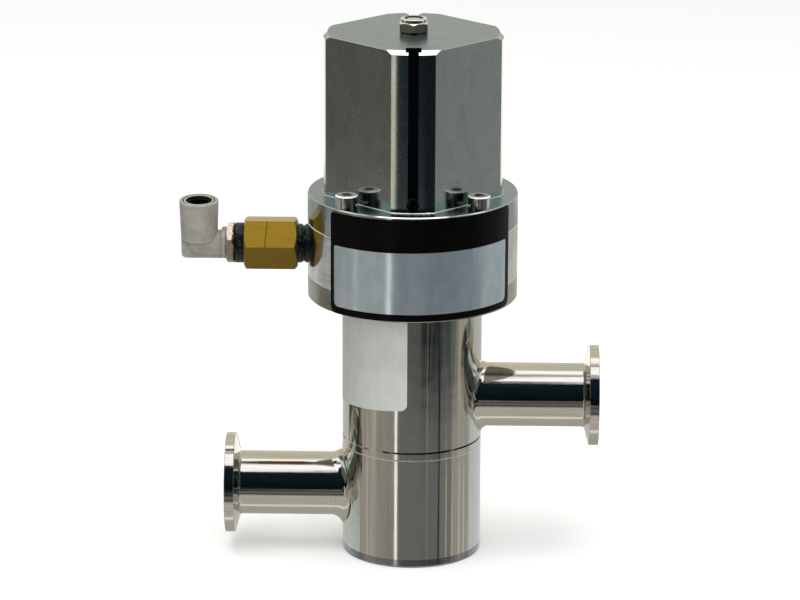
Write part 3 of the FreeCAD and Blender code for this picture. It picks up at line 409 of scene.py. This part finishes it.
def weldedRing(name):
    # stainless ring, fusion welded at both edges and polished back: on top a broken line painted dark as
    # shade in the groove, and below a ragged raised bead painted pale as a highlight; low and high are where
    # it shows between the two tubes
    # beadFade and seamFade: where the bead and the seam run out, as shares of their own widths
    finish = {"low": 44.3 * mm, "high": 48.0 * mm, "seam": 0.8 * mm, "bead": 0.45 * mm, "jag": 2.2 * mm,
              "breaks": 9 * mm, "beadRise": 0.15 * mm, "ring": "#cbc8c2", "beadHighlightTone": "#fffaee",
              "grooveShadeTone": "#15181c", "gaps": (0.42, 0.5), "smooth": 0.12, "rough": 0.45,
              "beadFade": (1.7, 1.5), "seamFade": 0.8}
    low, high = finish["low"], finish["high"]
    material, tree, shader = newMaterial(name, {"Metallic": 1, "Base Color": "#c9c6c0", "Roughness": 0.12})
    place = addNode(tree, "ShaderNodeTexCoord").outputs["Object"]
    height = addNode(tree, "ShaderNodeSeparateXYZ", {0: place}).outputs[2]
    jag = stretchedNoise(tree, finish["jag"], (1, 1, 3), 3)
    shift = addNode(tree, "ShaderNodeMapRange",
                    {0: jag, 1: noiseLow, 2: noiseHigh, 3: 0.0, 4: finish["bead"]})
    level = addNode(tree, "ShaderNodeMath", {0: height, 1: shift.outputs[0]}, operation="ADD").outputs[0]
    ends = [low + share * finish["bead"] for share in finish["beadFade"]]
    bead = addNode(tree, "ShaderNodeMapRange", {0: level, 1: ends[0], 2: ends[1]}).outputs[0]
    whole = high - finish["seamFade"] * finish["seam"]
    # painted shade along the top groove, broken in places
    top = addNode(tree, "ShaderNodeMapRange",
                  {0: height, 1: high - finish["seam"], 2: whole}).outputs[0]
    breaks = stretchedNoise(tree, finish["breaks"], (1, 1, 8), 1)
    kept = addNode(tree, "ShaderNodeMapRange",
                   {0: breaks, 1: finish["gaps"][0], 2: finish["gaps"][1]}).outputs[0]
    seam = addNode(tree, "ShaderNodeMath", {0: top, 1: kept}, operation="MULTIPLY").outputs[0]
    # painted highlight along the bead's ragged edge
    beadLit = addNode(tree, "ShaderNodeMix",
                    {0: bead, 6: hexColour(finish["ring"]), 7: hexColour(finish["beadHighlightTone"])},
                    data_type="RGBA")
    colour = addNode(tree, "ShaderNodeMix",
                     {0: seam, 6: beadLit.outputs[2], 7: hexColour(finish["grooveShadeTone"])}, data_type="RGBA")
    rough = addNode(tree, "ShaderNodeMapRange", {0: bead, 3: finish["smooth"], 4: finish["rough"]})
    bump = addNode(tree, "ShaderNodeBump", {"Height": bead, "Strength": 0.6, "Distance": finish["beadRise"]})
    finishWith(tree, shader, {"Base Color": colour.outputs[2], "Roughness": rough.outputs[0],
                              "Normal": bump.outputs[0]})
    return material


def anodisedAluminium(name):
    # milled bar, etched and anodised grey: an even fine grain over a sheen that still mirrors the studio
    # the slots are painted near-black as shade, the sawn top is duller, and the bevels were cut through the
    # anodising, those at the front and back painted near-white as a highlight
    # the real grain is about 0.1 mm, drawn coarser so it shows
    finish = {
        "grain": 0.45 * mm, "grainDepth": 0.02 * mm, "cloud": 9 * mm, "smooth": 0.09, "rough": 0.15,
        "dark": "#9aa2a4", "light": "#b5bdbe",
        "stains": [(0.3, "#f3f0ee"), (0.5, "#ffffff"), (0.7, "#f1f4f2")],
        "sawnTint": "#c3cbcb", "sawnRough": 0.24, "bevelHighlightTone": "#f6f7f6", "slotShadeTone": "#1c2226",
        "turn": math.radians(0.9),  # how far the block stands turned on the body
        "slotHalf": 3.1 * mm, "faceHalf": 34.6 * mm, "edge": 0.05 * mm,
        # how far up the normal points where each kind of face starts and is whole
        "faces": {"rising": (0.3, 0.4), "leaning": (0.97, 0.93), "sawn": (0.98, 0.99), "upright": (0.7, 0.6)},
        "aside": (0.35, 0.3), "sideBevelHighlight": 0.1,  # the bevels that look aside stay nearly as grey as the rest
    }
    material, tree, shader = newMaterial(name, {"Metallic": 1, "Base Color": "#a8b0b2", "Roughness": 0.12})
    grain = stretchedNoise(tree, finish["grain"], detail=3)
    cloud = stretchedNoise(tree, finish["cloud"], (1, 1, 2), 3)
    speckle = addNode(tree, "ShaderNodeValToRGB", {0: grain},
                      stops=[(noiseLow, finish["dark"]), (noiseHigh, finish["light"])])
    stain = addNode(tree, "ShaderNodeValToRGB", {0: cloud}, stops=finish["stains"])
    colour = addNode(tree, "ShaderNodeMix", {0: 1.0, 6: speckle.outputs[0], 7: stain.outputs[0]},
                     data_type="RGBA", blend_type="MULTIPLY")
    rough = addNode(tree, "ShaderNodeMapRange",
                    {0: grain, 1: noiseLow, 2: noiseHigh, 3: finish["smooth"], 4: finish["rough"]})
    bump = addNode(tree, "ShaderNodeBump",
                   {"Height": grain, "Strength": 0.12, "Distance": finish["grainDepth"]})

    facing = addNode(tree, "ShaderNodeNewGeometry").outputs["True Normal"]
    normal = addNode(tree, "ShaderNodeSeparateXYZ", {0: facing}).outputs
    faces = {kind: addNode(tree, "ShaderNodeMapRange", {0: normal[2], 1: start, 2: whole}).outputs[0]
             for kind, (start, whole) in finish["faces"].items()}
    colour = addNode(tree, "ShaderNodeMix",
                     {0: faces["sawn"], 6: colour.outputs[2], 7: hexColour(finish["sawnTint"])},
                     data_type="RGBA", blend_type="MULTIPLY")
    dulled = addNode(tree, "ShaderNodeMix", {0: faces["sawn"], 2: rough.outputs[0], 3: finish["sawnRough"]})
    # painted highlight: the bevels get a near-white colour, kept weak on those that look aside
    bevelHighlight = addNode(tree, "ShaderNodeMath", {0: faces["rising"], 1: faces["leaning"]}, operation="MULTIPLY")
    aside = addNode(tree, "ShaderNodeMath", {0: normal[0]}, operation="ABSOLUTE").outputs[0]
    start, whole = finish["aside"]
    front = addNode(tree, "ShaderNodeMapRange",
                    {0: aside, 1: start, 2: whole, 3: finish["sideBevelHighlight"]}).outputs[0]
    bevelHighlight = addNode(tree, "ShaderNodeMath", {0: bevelHighlight.outputs[0], 1: front}, operation="MULTIPLY").outputs[0]
    colour = addNode(tree, "ShaderNodeMix",
                     {0: bevelHighlight, 6: colour.outputs[2], 7: hexColour(finish["bevelHighlightTone"])}, data_type="RGBA")

    place = addNode(tree, "ShaderNodeTexCoord").outputs["Object"]
    turned = addNode(tree, "ShaderNodeMapping", {"Vector": place, "Rotation": (0, 0, -finish["turn"])})
    position = addNode(tree, "ShaderNodeSeparateXYZ", {0: turned.outputs[0]}).outputs
    # painted shade: the upright walls inside the slots get a near-black colour
    slot = faces["upright"]
    for axis, limit in ((0, finish["slotHalf"]), (1, finish["faceHalf"])):
        away = addNode(tree, "ShaderNodeMath", {0: position[axis]}, operation="ABSOLUTE").outputs[0]
        within = addNode(tree, "ShaderNodeMapRange", {0: away, 1: limit + finish["edge"], 2: limit})
        slot = addNode(tree, "ShaderNodeMath", {0: slot, 1: within.outputs[0]},
                       operation="MULTIPLY").outputs[0]
    colour = addNode(tree, "ShaderNodeMix",
                     {0: slot, 6: colour.outputs[2], 7: hexColour(finish["slotShadeTone"])}, data_type="RGBA")
    finishWith(tree, shader, {"Base Color": colour.outputs[2], "Roughness": dulled.outputs[0],
                              "Normal": bump.outputs[0]})
    return material


def drawnBrass(name):
    # brass hexagon bar, drawn and left bare: a thin oxide over a soft shine, brown in the pits, a scratch
    # across; the top is painted paler as light, and the underside and the end face in the ring's shade are
    # painted darker as shade
    # the drawing lines are about 0.1 mm wide, drawn coarser so they show
    finish = {
        "line": 0.35 * mm, "lineLength": 30, "lineDepth": 0.04 * mm, "dark": "#8a6f1d", "light": "#a98727",
        "pit": 1.4 * mm, "pitDepth": 0.2 * mm, "pitTone": "#8a6a30",
        "scratch": -57.8 * mm, "scratchWidth": 0.16 * mm, "scratchLean": 0.1, "scratchTone": "#4a3a10",
        # the main face alone is scratched, which looks forwards and up
        "forwards": (-0.6, -0.7), "raised": (0.3, 0.4), "scratchStrength": 0.8, "scratchFade": 1.6,
        # axis of the normal, where a face starts and is whole, how strong and which tint of painted light or
        # shade
        "faces": {"under": (2, -0.05, -0.4, 0.85, "#665116"), "top": (2, 0.8, 0.9, 0.6, "#b8a47c"),
                  "end": (0, 0.3, 0.6, 0.8, "#4f4626")},
    }
    material, tree, shader = newMaterial(name, {"Metallic": 0.72, "Base Color": "#c9a232", "Roughness": 0.36})
    lines = stretchedNoise(tree, finish["line"], (finish["lineLength"], 1, 1))
    pits = stretchedNoise(tree, finish["pit"], (2, 1, 1), 4)
    bright = addNode(tree, "ShaderNodeValToRGB", {0: lines},
                     stops=[(0.25, finish["dark"]), (0.75, finish["light"])])
    brown = addNode(tree, "ShaderNodeValToRGB", {0: pits},
                    stops=[(0.25, finish["pitTone"]), (0.34, "#ffffff")])
    colour = addNode(tree, "ShaderNodeMix", {0: 0.8, 6: bright.outputs[0], 7: brown.outputs[0]},
                     data_type="RGBA", blend_type="MULTIPLY")
    facing = addNode(tree, "ShaderNodeNewGeometry").outputs["True Normal"]
    normal = addNode(tree, "ShaderNodeSeparateXYZ", {0: facing}).outputs
    # painted light on the top and painted shade underneath and on the end face
    for axis, start, whole, strength, tint in finish["faces"].values():
        share = addNode(tree, "ShaderNodeMapRange",
                        {0: normal[axis], 1: start, 2: whole, 3: 0.0, 4: strength})
        colour = addNode(tree, "ShaderNodeMix",
                         {0: share.outputs[0], 6: colour.outputs[2], 7: hexColour(tint)}, data_type="RGBA")

    place = addNode(tree, "ShaderNodeTexCoord").outputs["Object"]
    position = addNode(tree, "ShaderNodeSeparateXYZ", {0: place}).outputs
    lean = addNode(tree, "ShaderNodeMath", {0: position[2], 1: -finish["scratchLean"], 2: position[0]},
                   operation="MULTIPLY_ADD").outputs[0]
    middle = (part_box("brass_adapter")[0].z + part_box("brass_adapter")[1].z) / 2
    start = finish["scratch"] - finish["scratchLean"] * middle
    off = addNode(tree, "ShaderNodeMath", {0: lean, 1: start}, operation="SUBTRACT").outputs[0]
    away = addNode(tree, "ShaderNodeMath", {0: off}, operation="ABSOLUTE").outputs[0]
    fade = finish["scratchWidth"] * finish["scratchFade"]
    line = addNode(tree, "ShaderNodeMapRange", {0: away, 1: fade, 2: finish["scratchWidth"]}).outputs[0]
    start, whole = finish["forwards"]
    forwards = addNode(tree, "ShaderNodeMapRange",
                       {0: normal[1], 1: start, 2: whole, 3: 0.0, 4: finish["scratchStrength"]}).outputs[0]
    start, whole = finish["raised"]
    raised = addNode(tree, "ShaderNodeMapRange", {0: normal[2], 1: start, 2: whole}).outputs[0]
    main = addNode(tree, "ShaderNodeMath", {0: forwards, 1: raised}, operation="MULTIPLY").outputs[0]
    scratch = addNode(tree, "ShaderNodeMath", {0: line, 1: main}, operation="MULTIPLY").outputs[0]
    colour = addNode(tree, "ShaderNodeMix",
                     {0: scratch, 6: colour.outputs[2], 7: hexColour(finish["scratchTone"])},
                     data_type="RGBA")
    bump = addNode(tree, "ShaderNodeBump",
                   {"Height": lines, "Strength": 0.3, "Distance": finish["lineDepth"]})
    dents = addNode(tree, "ShaderNodeBump", {"Height": pits, "Strength": 0.3,
                                             "Distance": finish["pitDepth"], "Normal": bump.outputs[0]})
    finishWith(tree, shader, {"Base Color": colour.outputs[2], "Normal": dents.outputs[0]})
    return material


def platedStud(name):
    # brass, nickel-plated to a warm sheen, with a jagged smear of thread sealant next to the adapter
    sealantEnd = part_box("stud_sealant")[0].x
    finish = {"reach": 0.7 * mm, "jag": 0.9 * mm, "jagSize": 1.6 * mm, "edge": 0.1 * mm, "thick": 0.2 * mm,
              "mottle": 1.2 * mm, "dark": "#d2b8ae", "light": "#f2e8e2", "smear": "#0c1418",
              "underFace": (0.1, -0.2), "underStrength": 0.85, "underShadeTone": "#8a7868"}
    material, tree, shader = newMaterial(name, {"Metallic": 1, "Base Color": "#d8c4bb", "Roughness": 0.25})
    place = addNode(tree, "ShaderNodeTexCoord").outputs["Object"]
    along = addNode(tree, "ShaderNodeSeparateXYZ", {0: place}).outputs[0]
    jag = stretchedNoise(tree, finish["jagSize"], (1.5, 1, 1), 3)
    shift = addNode(tree, "ShaderNodeMapRange",
                    {0: jag, 1: 0.25, 2: 0.75, 3: -finish["jag"], 4: finish["jag"]}).outputs[0]
    ragged = addNode(tree, "ShaderNodeMath", {0: along, 1: shift}, operation="ADD").outputs[0]
    end = sealantEnd - finish["reach"]
    smear = addNode(tree, "ShaderNodeMapRange",
                    {0: ragged, 1: end - finish["edge"], 2: end + finish["edge"]}).outputs[0]
    mottle = stretchedNoise(tree, finish["mottle"], detail=3)
    plating = addNode(tree, "ShaderNodeValToRGB", {0: mottle},
                      stops=[(noiseLow, finish["dark"]), (noiseHigh, finish["light"])])
    # painted shade: the faces that look down are darkened to a dull brown
    facing = addNode(tree, "ShaderNodeNewGeometry").outputs["True Normal"]
    up = addNode(tree, "ShaderNodeSeparateXYZ", {0: facing}).outputs[2]
    start, whole = finish["underFace"]
    under = addNode(tree, "ShaderNodeMapRange",
                    {0: up, 1: start, 2: whole, 3: 0.0, 4: finish["underStrength"]}).outputs[0]
    wearAndShade = addNode(tree, "ShaderNodeMix",
                   {0: under, 6: plating.outputs[0], 7: hexColour(finish["underShadeTone"])}, data_type="RGBA")
    colour = addNode(tree, "ShaderNodeMix",
                     {0: smear, 6: wearAndShade.outputs[2], 7: hexColour(finish["smear"])}, data_type="RGBA")
    metallic = addNode(tree, "ShaderNodeMapRange", {0: smear, 3: 1.0, 4: 0.0})
    bump = addNode(tree, "ShaderNodeBump", {"Height": smear, "Strength": 0.8, "Distance": finish["thick"]})
    finishWith(tree, shader, {"Base Color": colour.outputs[2], "Metallic": metallic.outputs[0],
                              "Normal": bump.outputs[0]})
    return material


# plastics, rubber and sealant

def mouldedPlastic(name, light, dark, roughness, flow=7, gloss=0.5):
    # injection-moulded in a spark-eroded mould: a faint even grain and slow changes of tone
    finish = {"grain": 0.5 * mm, "grainDepth": 0.05 * mm, "flow": flow * mm}
    material, tree, shader = newMaterial(name, {"Base Color": light, "Roughness": roughness, "IOR": 1.53,
                                                "Specular IOR Level": gloss})
    spots = stretchedNoise(tree, finish["grain"])
    streaks = stretchedNoise(tree, finish["flow"])
    tone = addNode(tree, "ShaderNodeMath", {0: spots, 1: streaks}, operation="MULTIPLY").outputs[0]
    colour = addNode(tree, "ShaderNodeValToRGB", {0: tone}, stops=[(0.12, dark), (0.4, light)])
    bump = addNode(tree, "ShaderNodeBump",
                   {"Height": spots, "Strength": 0.2, "Distance": finish["grainDepth"]})
    finishWith(tree, shader, {"Base Color": colour.outputs[0], "Normal": bump.outputs[0]})
    return material


def driedSealant(name):
    # anaerobic thread sealant squeezed out and dried: lumpy, blue-black, with a skin that shines
    finish = {"lump": 1.8 * mm, "lumpDepth": 0.6 * mm, "thread": 0.9 * mm, "threadDepth": 0.3 * mm,
              "tones": [(0.42, "#030506"), (0.6, "#0c1418"), (0.72, "#2b454d")]}
    material, tree, shader = newMaterial(name, {"Base Color": "#0a1014", "Roughness": 0.24, "IOR": 1.5,
                                                "Specular IOR Level": 0.3})
    lumps = stretchedNoise(tree, finish["lump"], (0.6, 1, 1), 3)
    threads = stretchedNoise(tree, finish["thread"], (1, 30, 30), 1)
    colour = addNode(tree, "ShaderNodeValToRGB", {0: lumps}, stops=finish["tones"])
    first = addNode(tree, "ShaderNodeBump",
                    {"Height": lumps, "Strength": 1.0, "Distance": finish["lumpDepth"]})
    second = addNode(tree, "ShaderNodeBump", {"Height": threads, "Strength": 0.5,
                                              "Distance": finish["threadDepth"], "Normal": first.outputs[0]})
    finishWith(tree, shader, {"Base Color": colour.outputs[0], "Normal": second.outputs[0]})
    return material


def sealRubber(name):
    # nitrile, moulded and greased: black and matt, with a grey bloom
    finish = {"bloom": 1.0 * mm, "dark": "#121212", "light": "#242322", "smooth": 0.4, "rough": 0.65}
    material, tree, shader = newMaterial(name, {"Base Color": "#161616", "Roughness": 0.5, "IOR": 1.5})
    bloom = stretchedNoise(tree, finish["bloom"], detail=3)
    colour = addNode(tree, "ShaderNodeValToRGB", {0: bloom},
                     stops=[(0.4, finish["dark"]), (0.7, finish["light"])])
    rough = addNode(tree, "ShaderNodeMapRange", {0: bloom, 3: finish["smooth"], 4: finish["rough"]})
    finishWith(tree, shader, {"Base Color": colour.outputs[0], "Roughness": rough.outputs[0]})
    return material


finishes = {
    "polished_stainless": polishedStainless("polishedStainless", "Z"),
    "satin_stainless": turnedMetal("satinStainless", "#b1ada5", "#a09b92", 0.25),
    "turned_aluminium": turnedMetal("brightAluminium", "#d9dad8", "#cbccc9", 0.13, strength=0.05),
    "anodised_aluminium": anodisedAluminium("anodisedAluminium"),
    "piston_aluminium": turnedMetal("turnedAluminium", "#cfd0ce", "#bcbdba", 0.25),
    "screw_steel": turnedMetal("screwSteel", "#cfccc4", "#aba79d", 0.25),
    "nut_steel": turnedMetal("nutSteel", "#f2efe6", "#dcd6c6", 0.12, strength=0.1),
    "nickel_plating": turnedMetal("nickelPlating", "#eeeee8", "#dcdcd4", 0.3, strength=0.1),
    "black_plastic": mouldedPlastic("blackAcetal", "#060606", "#030303", 0.5, gloss=0.1),
    "ground_steel": turnedMetal("groundSteel", "#d6d5d2", "#c8c7c3", 0.1),
    "bellows_steel": turnedMetal("formedSteel", "#c8c6c0", "#b5b2aa", 0.18),
    "spring_steel": turnedMetal("oiledSpringSteel", "#8d8b88", "#6e6a66", 0.3),
    "bronze": turnedMetal("sinteredBronze", "#b98a52", "#8d6638", 0.4),
    "brass": drawnBrass("drawnBrass"),
    "plated_brass": platedStud("platedStud"),
    "thread_sealant": driedSealant("driedSealant"),
    "elbow_plastic": mouldedPlastic("greyAcetal", "#95928a", "#7b7971", 0.42, flow=5),
    "nylon": mouldedPlastic("nylonRing", "#2f1c2b", "#21131f", 0.4),
    "bearing_plastic": mouldedPlastic("bearingStrip", "#cfcabb", "#b9b3a2", 0.5),
    "magnet": mouldedPlastic("bondedMagnet", "#34343a", "#26262a", 0.6),
    "seal_rubber": sealRubber("sealRubber"),
}
for part in frame["record"]["subparts"]:
    for slot in nodes[part["node"]].material_slots:
        slot.material = finishes[part["material_slot"]]

sideways = polishedStainless("polishedPort", "X")
ownFinishes = {
    "inlet_port": sideways,
    "outlet_port": sideways,
    "seat_ring": weldedRing("weldedRing"),
    # the base disc is coloured a darker, bluish grey: a painted reflection of the shade where it meets the
    # table
    "bottom_cap": turnedMetal("baseDiscPaintedShade", "#a0a3a9", "#8d9096", 0.14, strength=0.1),
    "cap_screws": knurledSteel("knurledSteel"),
    "vent_screw": turnedMetal("blackenedSteel", "#4b4d4e", "#35373a", 0.25),
}
for name, material in ownFinishes.items():
    for slot in nodes[name].material_slots:
        slot.material = material
print("CAD nodes dressed")


# labels: bare films stuck round the stack and the body

def cornerCut(radius, inwards):
    # how much a rounded corner takes off the edge this far in from the film's end
    return radius - math.sqrt(max(radius ** 2 - (radius - inwards) ** 2, 0)) if inwards < radius else 0


def curvedPlate(name, plate, material):
    # a thin film on a cylinder round Z; its corners are rounded and its edges may slope
    radius, thick = plate["radius"], plate["thickness"]
    start, end = plate["from"], plate["to"]
    arc = math.radians(end - start) * radius
    columns, rows = plate["columns"], plate["rows"]
    across = [0.5 - 0.5 * math.cos(math.pi * i / columns) for i in range(columns + 1)]  # finer at the ends
    points = []
    for layer in (radius + thick, radius):
        for share in across:
            inwards = min(share, 1 - share) * arc
            angle = math.radians(start + (end - start) * share)
            low = plate["bottom"] + plate["slope"] * (1 - share) + cornerCut(plate["corner"], inwards)
            high = plate["top"] + plate["topSlope"] * (1 - share) - cornerCut(plate["topCorner"], inwards)
            for row in range(rows + 1):
                height = low + (high - low) * row / rows
                points.append((layer * math.sin(angle) * mm, -layer * math.cos(angle) * mm, height * mm))
    step = rows + 1
    layerSize = step * (columns + 1)
    faces = []
    for c in range(columns):
        for r in range(rows):
            a = c * step + r
            quad = (a, a + step, a + step + 1, a + 1)
            faces.append(quad)
            faces.append(tuple(i + layerSize for i in reversed(quad)))
    rim = [c * step for c in range(columns + 1)] + [columns * step + r for r in range(1, rows + 1)]
    rim += [c * step + rows for c in range(columns - 1, -1, -1)] + [r for r in range(rows - 1, 0, -1)]
    for a, b in zip(rim, rim[1:] + rim[:1]):
        faces.append((b, a, a + layerSize, b + layerSize))
    piece = addMesh(name, points, faces, material)
    piece.data.set_sharp_from_angle(angle=math.radians(plate["crease"]))
    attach(piece, "valve_body")
    return piece


def printedFilm(name, light, dark, roughness, metallic=0.0, gloss=0.5):
    # polyester film, screen-printed in one flat colour under a matt laminate that still shines a little
    finish = {"mottle": 4 * mm, "depth": 0.05 * mm}
    material, tree, shader = newMaterial(name, {"Base Color": light, "Roughness": roughness,
                                                "Metallic": metallic, "Specular IOR Level": gloss})
    mottle = stretchedNoise(tree, finish["mottle"], (1, 1, 2), 4)
    colour = addNode(tree, "ShaderNodeValToRGB", {0: mottle}, stops=[(0.35, dark), (0.65, light)])
    bump = addNode(tree, "ShaderNodeBump",
                   {"Height": mottle, "Strength": 0.05, "Distance": finish["depth"]})
    finishWith(tree, shader, {"Base Color": colour.outputs[0], "Normal": bump.outputs[0]})
    return material


stackRadius = (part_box("air_ring")[1].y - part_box("air_ring")[0].y) / 2 / mm
bodyRadius = (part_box("upper_body_shell")[1].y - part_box("upper_body_shell")[0].y) / 2 / mm
headerFilm = {"radius": stackRadius + 0.01, "thickness": 0.07, "from": -49.1, "to": 65.0, "bottom": 106.3,
              "slope": -0.8, "top": 146.7, "topSlope": -0.8, "corner": 3.0, "topCorner": 1.8,
              "columns": 96, "rows": 12, "crease": 40}
silverPanel = {"radius": stackRadius + 0.085, "thickness": 0.05, "from": -46.3, "to": 61.1, "bottom": 108.8,
               "slope": -0.4, "top": 133.5, "topSlope": -0.7, "corner": 2.2, "topCorner": 0.8,
               "columns": 96, "rows": 8, "crease": 40}
bodyFilm = {"radius": bodyRadius + 0.01, "thickness": 0.1, "from": -128, "to": -3.0, "bottom": 65.4,
            "slope": -4.3, "top": 105.3, "topSlope": 0, "corner": 2.5, "topCorner": 0.01,
            "columns": 96, "rows": 10, "crease": 40}
blackFilm = printedFilm("blackFilm", "#050505", "#030303", 0.3, gloss=0.08)
silverFilm = printedFilm("silverFilm", "#bcc8d0", "#b0bdc6", 0.15, metallic=0.8)
whiteFilm = printedFilm("whiteFilm", "#b7bab4", "#b0b3ad", 0.4, gloss=0.3)
curvedPlate("stackLabel", headerFilm, blackFilm)
curvedPlate("stackLabelPanel", silverPanel, silverFilm)
curvedPlate("bodyLabel", bodyFilm, whiteFilm)
print("labels stuck on")


# spring and bellows inside, made at the length they have in the model
# keep: the length with the valve open over the length with it shut

springCoil = {"wire": 4.0, "turns": 6, "around": 16, "perTurn": 48, "keep": 45.5 / 55.5}


def addSpring(coil):
    low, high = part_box("return_spring")
    wire = coil["wire"] * mm / 2
    middle = (high.y - low.y) / 2 - wire
    around = coil["around"]
    steps = coil["turns"] * coil["perTurn"]
    points, faces = [], []
    for i in range(steps + 1):
        turn = 2 * math.pi * i / coil["perTurn"]
        height = low.z + wire + (high.z - low.z - 2 * wire) * i / steps
        for k in range(around):
            angle = 2 * math.pi * k / around
            radius = middle + wire * math.cos(angle)
            points.append((radius * math.cos(turn), radius * math.sin(turn), height + wire * math.sin(angle)))
    for i in range(steps):
        for k in range(around):
            a, b = i * around + k, i * around + (k + 1) % around
            faces.append((a, a + around, b + around, b))
    faces.append(tuple(range(around)))
    faces.append(tuple(reversed(range(steps * around, (steps + 1) * around))))
    piece = addMesh("springCoil", points, faces, finishes["spring_steel"])
    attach(piece, "valve_body")
    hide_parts("return_spring")
    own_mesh(piece)


bellowsFolds = {"folds": 9, "depth": 5.5, "sheet": 0.9, "around": 72, "perFold": 8, "keep": 38.9 / 48.9}


def addBellows(folds):
    # a wave in and out, turned round the stem
    low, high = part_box("bellows")
    outer = (high.y - low.y) / 2
    steps = folds["folds"] * folds["perFold"]
    profile = []
    for i in range(steps + 1):
        wave = 0.5 - 0.5 * math.cos(2 * math.pi * i / folds["perFold"])
        profile.append((outer - folds["depth"] * mm * (1 - wave), low.z + (high.z - low.z) * i / steps))
    profile += [(radius - folds["sheet"] * mm, height) for radius, height in reversed(profile)]
    points, faces = [], []
    for k in range(folds["around"]):
        turn = 2 * math.pi * k / folds["around"]
        points += [(radius * math.cos(turn), radius * math.sin(turn), height) for radius, height in profile]
    count = len(profile)
    for k in range(folds["around"]):
        here, there = k * count, (k + 1) % folds["around"] * count
        for i in range(count):
            after = (i + 1) % count
            faces.append((here + i, there + i, there + after, here + after))
    piece = addMesh("bellowsFolds", points, faces, finishes["bellows_steel"])
    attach(piece, "valve_body")
    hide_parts("bellows")
    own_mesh(piece)


addSpring(springCoil)
addBellows(bellowsFolds)
print("spring and bellows made")
